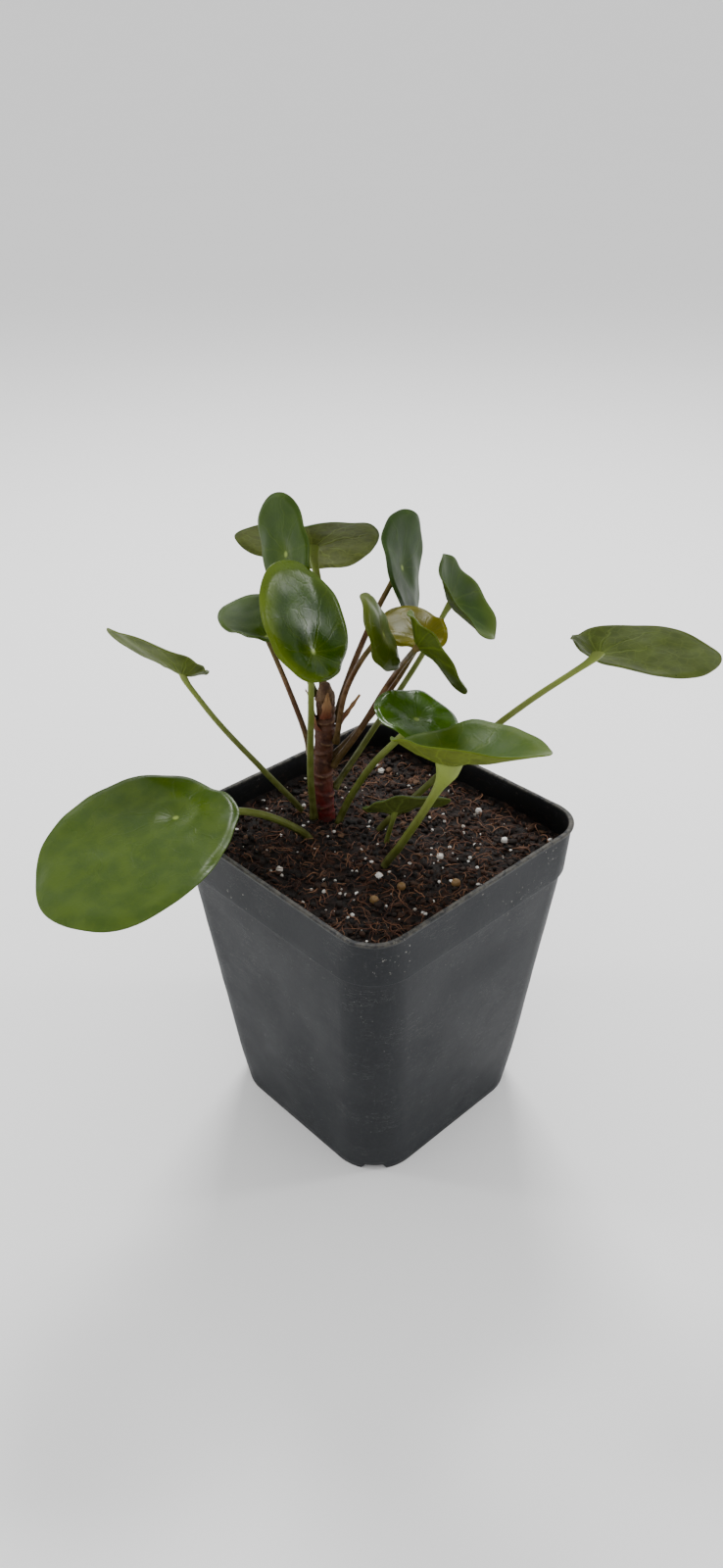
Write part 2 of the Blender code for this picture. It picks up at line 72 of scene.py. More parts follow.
# How many corners a ring of a packed stalk or stem has, and how many spokes a packed blade has.
STALK_SIDES = 8
STEM_SIDES = 12
BLADE_SPOKES = 24

# A leaf's colour keeps this much of its blue and of its brightness.
LEAF_BLUE = 0.55
LEAF_DEPTH = 0.60


def paint(red, green, blue, strength=1.0):
    """A colour given as display values from 0 to 255, as light values with an alpha of 1."""
    shares = np.array([red, green, blue]) / 255
    linear = np.where(shares > 0.04045, ((shares + 0.055) / 1.055) ** 2.4, shares / 12.92)
    return (*(linear * strength), 1.0)


def green(red, green_value, blue):
    """A leaf colour, kept deep: the light that a leaf lets through and scatters takes its blue away."""
    return paint(red, green_value, blue * LEAF_BLUE, LEAF_DEPTH)


def scaled(colour, share):
    """A colour made darker or paler, and at most white."""
    return (*(min(1, channel * share) for channel in colour[:3]), 1.0)


# How each leaf looks: upper face, its lighter mottling, rim and underside as display values, how strongly
# its rim gets painted light and the heading of the rim's side that gets the most, how rough the upper face
# is, how clearly its veins show and how much it reflects.
Look = namedtuple("Look", "face light rim under glow heading rough veins gloss", defaults=(0.5,))
DEEP, FRESH = (44, 72, 4), (66, 96, 10)
PALE_UNDER, GREEN_UNDER = (118, 130, 96), (100, 116, 70)

LOOKS = {
    "far_left": Look((58, 84, 14), (86, 108, 34), (120, 136, 66), GREEN_UNDER, 0.5, 137, 0.34, 0.25),
    "top_left": Look((50, 78, 3), (70, 98, 8), (90, 114, 14), GREEN_UNDER, 0.3, 227, 0.42, 0.4),
    "centre": Look((42, 72, 2), FRESH, (112, 134, 6), GREEN_UNDER, 0.85, 227, 0.24, 0.3, 0.9),
    "top_back": Look(DEEP, FRESH, FRESH, PALE_UNDER, 0.2, 47, 0.35, 0.35),
    "mid_left": Look((50, 78, 8), (72, 98, 24), (88, 108, 40), GREEN_UNDER, 0.3, 227, 0.36, 0.3),
    "top_right": Look((34, 60, 2), (48, 76, 5), (70, 96, 20), GREEN_UNDER, 0.25, 137, 0.42, 0.5),
    "right_upper": Look((38, 64, 2), (52, 80, 6), (110, 130, 60), (84, 104, 40), 0.4, 47, 0.45, 0.25),
    "young_bronze": Look((92, 92, 4), (112, 104, 8), (132, 126, 24), (88, 92, 26), 0.5, 137, 0.3, 0.25, 0.22),
    "right_middle": Look((52, 80, 8), (70, 96, 16), (112, 128, 60), (80, 98, 30), 0.4, 227, 0.32, 0.3),
    "young_narrow": Look((64, 86, 6), (82, 98, 14), (104, 112, 40), (84, 94, 30), 0.4, 227, 0.3, 0.3),
    "far_right": Look(DEEP, FRESH, (96, 108, 56), (100, 116, 84), 0.2, 47, 0.35, 0.3),
    "right_low": Look((58, 96, 3), (78, 118, 8), (80, 112, 20), GREEN_UNDER, 0.3, -43, 0.24, 0.25, 1.0),
    "front_funnel": Look((58, 88, 6), (84, 106, 22), (112, 134, 30), (112, 126, 70), 0.5, -43, 0.42, 0.3),
    "soil_small": Look(DEEP, FRESH, (106, 118, 92), (100, 112, 84), 0.3, 47, 0.4, 0.3),
    "left_large": Look((60, 88, 2), (88, 112, 10), (76, 100, 12), GREEN_UNDER, 0.25, 227, 0.30, 0.4, 1.0),
}
BROWN_STALKS = ("mid_left", "top_right", "young_bronze", "right_middle", "young_narrow")

# How much wider a stalk gets where it meets its blade, as a share of its radius.
FLARE = 0.55
FLARES = {"front_funnel": 2.6, "top_back": 1.3, "far_right": 1.0, "left_large": 0.6}


# ---- arrays --------------------------------------------------------------------------------------

def node_points(name):
    """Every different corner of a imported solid."""
    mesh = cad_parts[name].data
    flat = np.empty(len(mesh.vertices) * 3)
    mesh.vertices.foreach_get("co", flat)
    return np.unique(np.round(flat.reshape(-1, 3), 6), axis=0)


def soil_top():
    """The height of the soil's solid."""
    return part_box("soil")[1][2]


def unit(vectors):
    """Each vector divided by its length."""
    return vectors / np.maximum(np.linalg.norm(vectors, axis=-1, keepdims=True), 1e-12)


def ease(values, low, high):
    """0 below low, 1 above high, and 3t^2 - 2t^3 between."""
    t = np.clip((values - low) / (high - low), 0, 1)
    return t * t * (3 - 2 * t)


def bumps(x, y, size, seed):
    """Smooth noise from -1 to 1: seeded values on a square lattice of the given cell size, eased between."""
    values = np.random.default_rng(seed).uniform(-1, 1, (64, 64))
    u, v = x / size, y / size
    i, j = np.floor(u).astype(int), np.floor(v).astype(int)
    a, b = u - i, v - j
    a, b = a * a * (3 - 2 * a), b * b * (3 - 2 * b)
    i, j, right, far = i % 64, j % 64, (i + 1) % 64, (j + 1) % 64
    near_side = values[i, j] * (1 - a) + values[right, j] * a
    far_side = values[i, far] * (1 - a) + values[right, far] * a
    return near_side * (1 - b) + far_side * b


def curve_through(points, count):
    """count points on the Catmull-Rom curve through the given points, spread evenly by number of spans."""
    padded = np.vstack([2 * points[0] - points[1], points, 2 * points[-1] - points[-2]])
    where = np.linspace(0, len(points) - 1, count)
    k = np.minimum(where.astype(int), len(points) - 2)
    t = (where - k)[:, None]
    a, b, c, d = padded[k], padded[k + 1], padded[k + 2], padded[k + 3]
    return 0.5 * (2 * b + (c - a) * t + (2 * a - 5 * b + 4 * c - d) * t**2 + (3 * b - a - 3 * c + d) * t**3)


def stacked_rings(points, size, first):
    """Ring centres and radii of a tube with size corners to a ring, from the ring nearest to first on."""
    left = points.copy()
    centres, radii, at = [], [], np.array(first)
    while len(left):
        order = np.argsort(np.linalg.norm(left - at, axis=1))
        ring = left[order[:size]]
        left = left[order[size:]]
        at = ring.mean(0)
        centres.append(at)
        radii.append(np.linalg.norm(ring - at, axis=1).mean())
    return np.array(centres), np.array(radii)


# ---- meshes --------------------------------------------------------------------------------------

def finish_piece(name, mesh, skin, nodes):
    """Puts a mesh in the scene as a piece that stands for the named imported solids."""
    mesh.materials.append(skin)
    mesh.shade_smooth()
    piece = bpy.data.objects.new(name, mesh)
    bpy.context.scene.collection.objects.link(piece)
    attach(piece, "root")
    if nodes:
        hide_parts(*nodes)


def mesh_of(name, points, faces, extras=None):
    """A mesh from an array of points and an array of faces with the same number of corners each."""
    mesh = bpy.data.meshes.new(name)
    corners = faces.shape[1]
    mesh.vertices.add(len(points))
    mesh.vertices.foreach_set("co", np.ascontiguousarray(points, np.float32).ravel())
    mesh.loops.add(faces.size)
    mesh.loops.foreach_set("vertex_index", faces.astype(np.int32).ravel())
    mesh.polygons.add(len(faces))
    mesh.polygons.foreach_set("loop_start", np.arange(0, faces.size, corners, dtype=np.int32))
    mesh.update(calc_edges=True)
    for label, values in (extras or {}).items():
        if values.ndim == 1:
            mesh.attributes.new(label, "FLOAT", "POINT").data.foreach_set("value", values.astype(np.float32))
        else:
            layer = mesh.uv_layers.new(name=label)
            layer.data.foreach_set("uv", values[faces.ravel()].astype(np.float32).ravel())
    mesh.validate()
    return mesh


def ring_quads(rows, columns):
    """Faces between stacked rings of points, each ring closed on itself."""
    row, column = np.meshgrid(np.arange(rows - 1), np.arange(columns), indexing="ij")
    after = (column + 1) % columns
    near, far = row * columns, (row + 1) * columns
    return np.stack([near + column, near + after, far + after, far + column], -1).reshape(-1, 4)


def fans(rows, columns, first_pole, last_pole):
    """Triangles that join each end ring to the point at its middle."""
    k = np.arange(columns)
    after = (k + 1) % columns
    last = (rows - 1) * columns
    start = np.stack([np.full(columns, first_pole), after, k], -1)
    end = np.stack([np.full(columns, last_pole), last + k, last + after], -1)
    return np.vstack([start, end])


def closed_skin(name, rings, extras=None):
    """A closed mesh from an array of rings (rows, columns, 3), with a pole at the middle of each end ring."""
    rows, columns = rings.shape[:2]
    points = np.vstack([rings.reshape(-1, 3), rings[0].mean(0), rings[-1].mean(0)])
    quads = ring_quads(rows, columns)
    split = np.vstack([quads[:, [0, 1, 2]], quads[:, [0, 2, 3]]])
    faces = np.vstack([split, fans(rows, columns, rows * columns, rows * columns + 1)])
    full = {}
    for label, values in (extras or {}).items():
        ends = [values[0].mean(0)[None], values[-1].mean(0)[None]]
        full[label] = np.concatenate([values.reshape(-1, *values.shape[2:]), *ends])
    return mesh_of(name, points, faces, full)


# ---- materials -----------------------------------------------------------------------------------

class Finish:
    """A material being put together from nodes. Patterns lie on Object coordinates unless given a place."""

    def __init__(self, name, **values):
        self.material = bpy.data.materials.new(name)
        self.material.use_nodes = True
        self.tree = self.material.node_tree
        self.shader = self.tree.nodes["Principled BSDF"]
        for label, value in values.items():
            self.shader.inputs[label.replace("_", " ").title().replace("Ior", "IOR")].default_value = value
        self.place = self.tree.nodes.new("ShaderNodeTexCoord").outputs["Object"]

    def feed(self, socket, value):
        """Links a socket to another's output, or sets it to a plain value."""
        if isinstance(value, bpy.types.NodeSocket):
            self.tree.links.new(value, socket)
        else:
            socket.default_value = value

    def maths(self, operation, a, b=0.0):
        step = self.tree.nodes.new("ShaderNodeMath")
        step.operation = operation
        self.feed(step.inputs[0], a)
        self.feed(step.inputs[1], b)
        return step.outputs[0]

    def times(self, a, b):
        return self.maths("MULTIPLY", a, b)

    def plus(self, a, b):
        return self.maths("ADD", a, b)

    def minus(self, a, b):
        return self.maths("SUBTRACT", a, b)

    def noise(self, size, detail=3.0, at=None, stretch=None, rough=0.55):
        """Noise whose features are about size metres across, or stretched along the axes given."""
        where = at or self.place
        if stretch:
            mapping = self.tree.nodes.new("ShaderNodeMapping")
            mapping.inputs["Scale"].default_value = stretch
            self.feed(mapping.inputs["Vector"], where)
            where = mapping.outputs[0]
        texture = self.tree.nodes.new("ShaderNodeTexNoise")
        self.feed(texture.inputs["Vector"], where)
        texture.inputs["Scale"].default_value = 1 / size
        texture.inputs["Detail"].default_value = detail
        texture.inputs["Roughness"].default_value = rough
        return texture.outputs["Fac"]

    def cells(self, size, feature="F1", at=None):
        """Distance from the middles of cells about size metres across, or from their edges."""
        texture = self.tree.nodes.new("ShaderNodeTexVoronoi")
        texture.feature = feature
        self.feed(texture.inputs["Vector"], at or self.place)
        texture.inputs["Scale"].default_value = 1 / size
        return texture.outputs["Distance"]

    def span(self, value, low, high, start=0.0, end=1.0):
        """start below low, end above high and a smooth change between."""
        step = self.tree.nodes.new("ShaderNodeMapRange")
        step.interpolation_type = "SMOOTHSTEP"
        self.feed(step.inputs["Value"], value)
        for label, number in (("From Min", low), ("From Max", high), ("To Min", start), ("To Max", end)):
            step.inputs[label].default_value = number
        return step.outputs["Result"]

    def mix(self, share, a, b):
        """Colour a where share is 0, and colour b where it is 1."""
        step = self.tree.nodes.new("ShaderNodeMix")
        step.data_type = "RGBA"
        self.feed(step.inputs[0], share)
        self.feed(step.inputs[6], a)
        self.feed(step.inputs[7], b)
        return step.outputs[2]

    def attribute(self, label):
        step = self.tree.nodes.new("ShaderNodeAttribute")
        step.attribute_name = label
        return step.outputs["Fac"]

    def split(self, vector):
        step = self.tree.nodes.new("ShaderNodeSeparateXYZ")
        self.feed(step.inputs[0], vector)
        return step.outputs

    def bump(self, height, distance, strength=1.0):
        step = self.tree.nodes.new("ShaderNodeBump")
        step.inputs["Strength"].default_value = strength
        step.inputs["Distance"].default_value = distance
        self.feed(step.inputs["Height"], height)
        self.feed(self.shader.inputs["Normal"], step.outputs[0])

    def done(self, colour, rough=None):
        self.feed(self.shader.inputs["Base Color"], colour)
        if rough is not None:
            self.feed(self.shader.inputs["Roughness"], rough)
        return self.material


def leaf_skin(name, look, spokes):
    """Waxy green above and matt paler below, with veins that fan out from the stalk.

    The piece's uv map holds the distance from the stalk along two directions in the blade, in decimetres.
    A vein lies wherever spokes times the heading, bent a little by noise, is a whole turn.
    """
    f = Finish(name, ior=1.2, specular_ior_level=look.gloss)
    face_green, light_green, rim_green, under_green = (green(*colour) for colour in look[:4])
    uv = f.tree.nodes.new("ShaderNodeUVMap")
    uv.uv_map = "blade"
    flat = uv.outputs[0]
    x, y, _ = f.split(flat)
    reach = f.maths("SQRT", f.plus(f.times(x, x), f.times(y, y)))
    heading = f.maths("ARCTAN2", y, x)
    wander = f.times(f.minus(f.noise(0.11, 2.0, at=flat), 0.5), 5.0)
    phase = f.plus(f.times(heading, spokes / 2), wander)
    gap = f.times(f.maths("ABSOLUTE", f.maths("SINE", phase)), reach)
    main = f.span(gap, 0.004, 0.022, 1.0, 0.0)
    main = f.times(main, f.span(reach, 0.10, 0.34, 1.0, 0.25))
    net = f.cells(0.034, "DISTANCE_TO_EDGE", at=flat)
    net = f.span(net, 0.0, 0.10, 1.0, 0.0)
    mottle = f.span(f.noise(0.0065, 4.0), 0.35, 0.68)
    fine = f.span(f.noise(0.0009, 3.0), 0.4, 0.75)
    under, glow, share = f.attribute("under"), f.attribute("glow"), f.attribute("share")

    top = f.mix(f.times(mottle, 0.55), face_green, light_green)
    top = f.mix(f.times(main, look.veins * 0.5), top, rim_green)
    top = f.mix(f.times(net, look.veins * 0.1), top, rim_green)
    top = f.mix(f.times(fine, 0.12), top, light_green)
    # Painted light: the rim is mixed towards its paler green a little all round and most on the side that
    # faces the look's heading.
    top = f.mix(f.times(glow, look.glow), top, rim_green)
    dot = f.span(reach, 0.004, 0.013, 0.85, 0.0)
    top = f.mix(dot, top, paint(150, 168, 84))
    halo = f.span(reach, 0.01, 0.06, 0.30, 0.0)
    top = f.mix(halo, top, rim_green)

    deeper, paler = scaled(under_green, 0.72), scaled(under_green, 1.5)
    below = f.mix(mottle, under_green, deeper)
    below = f.mix(f.times(main, 0.7), below, paler)
    below = f.mix(f.times(net, 0.28), below, paler)
    speck = f.span(f.cells(0.0045), 0.05, 0.075, 1.0, 0.0)
    speck = f.times(speck, f.span(f.noise(0.012, 1.0), 0.52, 0.6))
    below = f.mix(f.times(speck, 0.75), below, paint(24, 26, 10))
    edge = f.span(share, 0.972, 0.995, 0.0, 0.55)
    below = f.mix(edge, below, rim_green)

    colour = f.mix(under, top, below)
    gloss = f.span(f.noise(0.012, 2.0), 0.3, 0.7, look.rough - 0.04, look.rough + 0.08)
    rough = f.plus(f.times(under, 0.26), gloss)
    height = f.plus(f.times(main, 0.8), f.times(net, 0.35))
    sign = f.minus(f.times(under, 2.4), 1.0)
    height = f.plus(f.times(height, sign), f.times(f.noise(0.0007, 3.0), 0.5))
    f.bump(height, 0.00007, 0.5)
    return f.done(colour, rough)


def stalk_skin(name, root, middle, head, line):
    """Smooth juicy skin with fine lengthwise ribs, darker at the root and paler under the blade."""
    root, middle, head, line = (paint(*colour) for colour in (root, middle, head, line))
    f = Finish(name, ior=1.25)
    along, rib = f.attribute("along"), f.attribute("rib")
    colour = f.mix(f.span(along, 0.0, 0.45), root, middle)
    colour = f.mix(f.span(along, 0.55, 1.0), colour, head)
    blotch = f.span(f.noise(0.004, 4.0), 0.42, 0.7)
    colour = f.mix(f.times(blotch, 0.35), colour, line)
    colour = f.mix(f.span(rib, 0.0, 0.35, 0.30, 0.0), colour, line)
    dots = f.span(f.cells(0.0016), 0.08, 0.16, 0.45, 0.0)
    colour = f.mix(dots, colour, root)
    rough = f.span(f.noise(0.002, 3.0), 0.3, 0.7, 0.36, 0.55)
    f.bump(f.plus(f.times(rib, 0.6), f.noise(0.0008, 3.0)), 0.00012, 0.5)
    return f.done(colour, rough)


# ---- leaves --------------------------------------------------------------------------------------

Blade = namedtuple("Blade", "centre along across up reach lift dimple")
DIMPLE_REACH = 5 * MM
HEART_HALF = 0.42 * MM
RIM_HALF = 0.20 * MM


def measure_blade(name):
    """Reads a blade off its solid: its heart over the stalk, three directions, and its edge's reach and lift.

    The stalk's end ring lies flat under the blade, so its plane gives the blade's direction. Along each of
    the blade's spokes the height is a square of the distance plus a dimple, and both shares are fitted.
    """
    leaf, stalk = node_points("blade_" + name), node_points("stalk_" + name)
    gaps = np.linalg.norm(stalk[:, None] - leaf[None], axis=-1).min(1)
    ring = stalk[np.argsort(gaps)[:STALK_SIDES]]
    middle = ring.mean(0)
    up = np.linalg.svd(ring - middle)[2][2]
    up = up * np.sign((leaf.mean(0) - stalk.mean(0)) @ up)
    heart = leaf[np.argsort(np.linalg.norm(leaf - middle, axis=1))[:2]].mean(0)
    flat = leaf - heart
    height = flat @ up
    flat = flat - height[:, None] * up
    reach = np.linalg.norm(flat, axis=1)
    along = unit(flat[np.argmax(reach)])
    across = np.cross(up, along)
    angle = np.arctan2(flat @ across, flat @ along)
    spoke = np.round(angle / (TURN / BLADE_SPOKES)).astype(int) % BLADE_SPOKES
    reaches, lifts, dimples = np.zeros((3, BLADE_SPOKES))
    for k in range(BLADE_SPOKES):
        mine = (spoke == k) & (reach > 0.0005)
        far = reach[mine].max()
        share = reach[mine] / far
        terms = np.stack([share**2, 1 - np.exp(-((reach[mine] / DIMPLE_REACH) ** 2))], -1)
        reaches[k] = far
        lifts[k], dimples[k] = np.linalg.lstsq(terms, height[mine], rcond=None)[0]
    reach_waves, lift_waves = np.fft.rfft(reaches) / BLADE_SPOKES, np.fft.rfft(lifts) / BLADE_SPOKES
    return Blade(heart, along, across, up, reach_waves, lift_waves, dimples.mean())


def around(series, angle, harmonics=10):
    """The value at each angle of a closed curve given by its Fourier series."""
    waves = np.arange(1, harmonics + 1)
    turned = np.exp(1j * angle[..., None] * waves)
    return series[0].real + 2 * (series[1 : harmonics + 1] * turned).real.sum(-1)


def blade_surface(blade, angle, share, seed):
    """Points in the middle of the blade's thickness.

    height = lift share^2 + dimple (1 - exp(-(reach / dimple reach)^2)), then shallow swells, small dents and
    a rim that rolls down over the last seventh.
    """
    reach = around(blade.reach, angle) * share
    ripple = 1 + 0.010 * np.sin(5 * angle + seed) + 0.006 * np.sin(11 * angle + 2 * seed)
    reach = reach * (1 + (ripple - 1) * share**3)
    x, y = reach * np.cos(angle), reach * np.sin(angle)
    height = around(blade.lift, angle) * share**2
    height = height + blade.dimple * (1 - np.exp(-((reach / DIMPLE_REACH) ** 2)))
    swell = 0.0005 * np.sin(3 * angle + 1.7 * seed) + 0.00035 * np.sin(7 * angle + 0.6 * seed)
    height = height + swell * share**3
    height = height + 0.0003 * bumps(x + 1, y + 1, 0.006, 100 + seed) * ease(share, 0.1, 0.4)
    height = height - 0.0007 * ease(share, 0.86, 1.0) ** 2
    return x, y, height


def build_leaf(name, seed):
    """One closed blade: rows run from the middle over the upper face, round the rim and back underneath.

    Half its thickness falls with the square of the share from heart to rim, and the rim is a half circle.
    """
    blade, look = measure_blade(name), LOOKS[name]
    columns, top_rows, rim_rows = 216, 40, 5
    spokes = 9 + seed % 2
    angle = np.linspace(0, TURN, columns, endpoint=False)
    top = np.linspace(0.02, 1, top_rows) ** 0.85
    bend = np.linspace(0, math.pi, rim_rows + 2)[1:-1]
    share = np.concatenate([top, np.ones(rim_rows), top[::-1]])
    side = np.concatenate([np.ones(top_rows), np.cos(bend), -np.ones(top_rows)])
    past = np.concatenate([np.zeros(top_rows), np.sin(bend), np.zeros(top_rows)])
    angles, shares = np.meshgrid(angle, share)
    x, y, height = blade_surface(blade, angles, shares, seed)
    half = (HEART_HALF - (HEART_HALF - RIM_HALF) * share**2)[:, None]
    reach = np.hypot(x, y)
    vein = np.abs(np.sin(angles * spokes / 2 + 0.5 * bumps(x + 3, y + 3, 0.012, 40 + seed))) * reach
    ridge = np.exp(-((vein / (0.5 * MM)) ** 2)) * ease(shares, 0.06, 0.2) * (1 - ease(shares, 0.75, 0.98))
    height = height + side[:, None] * half - np.where(side[:, None] > 0, 0.05, 0.14) * MM * ridge
    outward = past[:, None] * RIM_HALF
    x, y = x + outward * np.cos(angles), y + outward * np.sin(angles)
    rings = blade.centre + x[..., None] * blade.along + y[..., None] * blade.across
    rings = rings + height[..., None] * blade.up
    # The rim's painted light is strongest where the rim points towards the look's heading and weakest
    # opposite.
    lit = math.radians(look.heading)
    towards = np.array([math.cos(lit), math.sin(lit), -0.35])
    lean = math.atan2(towards @ blade.across, towards @ blade.along)
    facing = 0.25 + 0.75 * (0.5 + 0.5 * np.cos(angles - lean)) ** 1.5
    extras = {
        "blade": np.stack([x, y], -1) * 10,
        "under": np.repeat((side < 0.2).astype(float)[:, None], columns, 1),
        "glow": ease(shares, 0.62, 1.0) * facing,
        "share": shares,
    }
    skin = leaf_skin("leaf_skin_" + name, look, spokes)
    finish_piece("leaf_" + name, closed_skin("leaf_" + name, rings, extras), skin, ["blade_" + name])
    return blade


# ---- stalks --------------------------------------------------------------------------------------

def tube_rings(path, radii, sides, reference=None, ends=None):
    """Rings round a path: centre + radius (cos a N + sin a B), N being the reference made square to the path.

    ends gives a direction and, for each row, how far the section turns to face it.
    """
    along = unit(np.gradient(path, axis=0))
    if ends is not None:
        direction, amount = ends
        along = unit(along * (1 - amount[:, None]) + direction * amount[:, None])
    if reference is None:
        reference = np.linalg.svd(path - path.mean(0))[2][2]
    first = unit(reference - (along @ reference)[:, None] * along)
    second = np.cross(along, first)
    angle = np.linspace(0, TURN, sides, endpoint=False)
    radii = np.broadcast_to(radii, (len(path), sides)) if np.ndim(radii) == 2 else np.asarray(radii)[:, None]
    spread = np.cos(angle)[None, :, None] * first[:, None] + np.sin(angle)[None, :, None] * second[:, None]
    return path[:, None] + radii[..., None] * spread, np.broadcast_to(angle, (len(path), sides))


def blade_height(blade, offset):
    """How far the blade's middle surface stands above its heart at each offset, without the small swells."""
    x, y = offset @ blade.along, offset @ blade.across
    angle, reach = np.arctan2(y, x), np.hypot(x, y)
    share = reach / around(blade.reach, angle)
    return around(blade.lift, angle) * share**2 + blade.dimple * (1 - np.exp(-((reach / DIMPLE_REACH) ** 2)))


def build_stalk(name, blade, seed):
    """A stalk swept along the line of its solid, swollen at its root and flaring out under the blade."""
    solid = node_points("stalk_" + name)
    below = blade.centre - blade.up * 0.7 * MM
    centres, radii = stacked_rings(solid, STALK_SIDES, below)
    centres, radii = centres[::-1], radii[::-1]
    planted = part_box("stalk_" + name)[0][2] < soil_top()
    if not planted:
        centres[0] = centres[0] + unit(centres[0] - centres[1]) * 1.8 * MM
    centres[-1] = blade.centre - blade.up * 0.25 * MM
    rows, sides = 26 + 7 * len(centres), 28
    path = curve_through(centres, rows)
    base = np.interp(np.linspace(0, 1, rows), np.linspace(0, 1, len(radii)), radii)
    walked = np.concatenate([[0], np.cumsum(np.linalg.norm(np.diff(path, axis=0), axis=1))])
    left = walked[-1] - walked
    wide = FLARES.get(name, FLARE)
    thick = base * (1 + wide * np.exp(-((left / ((1.4 + 1.8 * wide) * MM)) ** 1.3)))
    if not planted:
        thick = thick * (1 + 0.35 * np.exp(-((walked / (2.6 * MM)) ** 2)))
    angle = np.linspace(0, TURN, sides, endpoint=False)
    ribs = 1 + 0.035 * np.cos(3 * angle[None] + seed)
    ribs = ribs + 0.02 * np.sin(walked[:, None] / (3.1 * MM) + angle[None])
    turn = ease(-left, -3.2 * MM, 0)
    rings, angles = tube_rings(path, thick[:, None] * ribs, sides, ends=(blade.up, turn))
    follow = (ease(-left, -(2.5 + 1.6 * wide) * MM, 0) ** 1.5)[:, None]
    rings = rings + (follow * blade_height(blade, rings - blade.centre))[..., None] * blade.up
    extras = {
        "along": np.repeat((walked / walked[-1])[:, None], sides, 1),
        "rib": np.abs(np.sin(3 * angles)),
    }
    tint = "brown" if name in BROWN_STALKS else "green"
    mesh = closed_skin("stalk_of_" + name, rings, extras)
    finish_piece("stalk_of_" + name, mesh, SKINS[tint], ["stalk_" + name])


# ---- stem and crown ------------------------------------------------------------------------------

SCARS = 13
FIRST_SCAR = 9.5 * MM
SCAR_STEP = 4.1 * MM
SCAR_TURN = 2.4


def build_stem():
    """The woody stem: a tube with sloping crescent scars where leaves were shed, and fine cracks between.

    A scar is a raised line with a groove above it, both bell curves of the height, strongest on one side.
    """
    solid = node_points("main_stem")
    foot = solid[np.argsort(solid[:, 2])[:STEM_SIDES]].mean(0)
    centres, radii = stacked_rings(solid, STEM_SIDES, foot)
    rows, sides = 300, 84
    path = curve_through(centres, rows)
    base = np.interp(np.linspace(0, 1, rows), np.linspace(0, 1, len(radii)), radii)
    angle = np.linspace(0, TURN, sides, endpoint=False)[None]
    walked = np.concatenate([[0], np.cumsum(np.linalg.norm(np.diff(path, axis=0), axis=1))])[:, None]
    relief = np.zeros((rows, sides))
    for k in range(SCARS):
        heading, height = SCAR_TURN * k, FIRST_SCAR + SCAR_STEP * k
        offset = (walked - height) / MM + 0.9 * np.cos(angle - heading)
        facing = 0.35 + 0.65 * (0.5 + 0.5 * np.cos(angle - heading))
        ridge = 0.34 * np.exp(-((offset / 0.55) ** 2))
        groove = 0.16 * np.exp(-(((offset - 1.3) / 0.7) ** 2))
        relief += facing * (ridge - groove)
    wrap_x = np.cos(angle) * 3.5 * MM + 0 * walked
    wrap_y = np.sin(angle) * 3.5 * MM + 0 * walked
    cracks = bumps(wrap_x + 0.25 * walked + 1, wrap_y + 1, 0.0009, 5)
    cracks = cracks + 0.6 * bumps(wrap_x + 2, walked + wrap_y, 0.0017, 6)
    relief += 0.10 * cracks
    rings, _ = tube_rings(path, base[:, None] + relief * MM, sides, reference=np.array([1.0, 0, 0]))
    extras = {"along": np.repeat(walked / walked[-1], sides, 1), "scar": np.clip(relief, -0.4, 0.6) + 0.4}
    finish_piece("stem", closed_skin("stem", rings, extras), SKINS["bark"], ["main_stem"])


def build_scales():
    """Dry papery scales: a sheet that narrows to a torn point, cups round the stem and curls at its tip."""
    axis = node_points("main_stem")[:, :2].mean(0)
    rows, columns, thick = 34, 22, 0.10 * MM
    for index in (1, 2, 3):
        low, high = (np.array(c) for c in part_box(f"scale_{index}"))
        middle = (low + high) / 2
        outward = unit(np.append(middle[:2] - axis, 0))
        sideways = np.cross(UP, outward)
        solid = node_points(f"scale_{index}")
        base = solid[solid[:, 2] < low[2] + 0.001].mean(0)
        tall = high[2] - low[2]
        along = np.linspace(0, 1, rows)[:, None]
        across = np.linspace(-1, 1, columns)[None]
        wide = 2.1 * MM * (1 - 0.80 * along**1.4) * (1 + 0.10 * np.sin(9 * along + index))
        across = across * (1 + 0.12 * np.sin(14 * along + 2 * index))
        out = 3.2 * MM * along**1.6 + 0.6 * MM * np.sin(5 * along) - 0.8 * MM * across**2 * (1 - 0.6 * along)
        out = out + 0.12 * MM * bumps(across * 0.01 + 1, along * 0.05 + index, 0.002, 60 + index)
        height = tall * along * (1 - 0.10 * np.abs(across) ** 3) + 0 * across
        sheet = base + out[..., None] * outward + (wide * across)[..., None] * sideways
        sheet = sheet + height[..., None] * UP
        ring = np.concatenate([sheet, (sheet - thick * outward)[:, ::-1]], axis=1)
        mesh = closed_skin(f"bud_scale_{index}", ring, {"along": np.repeat(along, 2 * columns, 1)})
        finish_piece(f"bud_scale_{index}", mesh, SKINS["scale"], [f"scale_{index}"])


def build_stub():
    """What is left of a shed stalk: a wavy tube swept along its solid and on into the stem."""
    rows, sides = 60, 18
    solid = node_points("stalk_stub")
    centres, radii = stacked_rings(solid, STALK_SIDES, solid[np.argmin(solid[:, 2])])
    centres[0] = centres[0] - unit(centres[1] - centres[0]) * 1.5 * MM
    path = curve_through(centres, rows)
    share = np.linspace(0, 1, rows)
    thick = np.interp(share, np.linspace(0, 1, len(radii)), radii) * (1 + 0.12 * np.sin(share * 21))
    rings, _ = tube_rings(path, thick, sides)
    mesh = closed_skin("shed_stalk_stub", rings, {"along": np.repeat(share[:, None], sides, 1)})
    finish_piece("shed_stalk_stub", mesh, SKINS["scale"], ["stalk_stub"])


# ---- pot -----------------------------------------------------------------------------------------

# The pot's levels counted from its foot, up its outer face and down its inner face, and the two they share.
OUTER_LEVELS = (0, 3, 5, 6, 8, 9, 10)
INNER_LEVELS = (10, 7, 4, 3, 1)
SHARED_LEVELS = (3, 10)

# How close two corners of the pot's solid are when they lie on one level, and when they end one flat side.
SAME_LEVEL = 0.02 * MM
SAME_END = 0.6 * MM


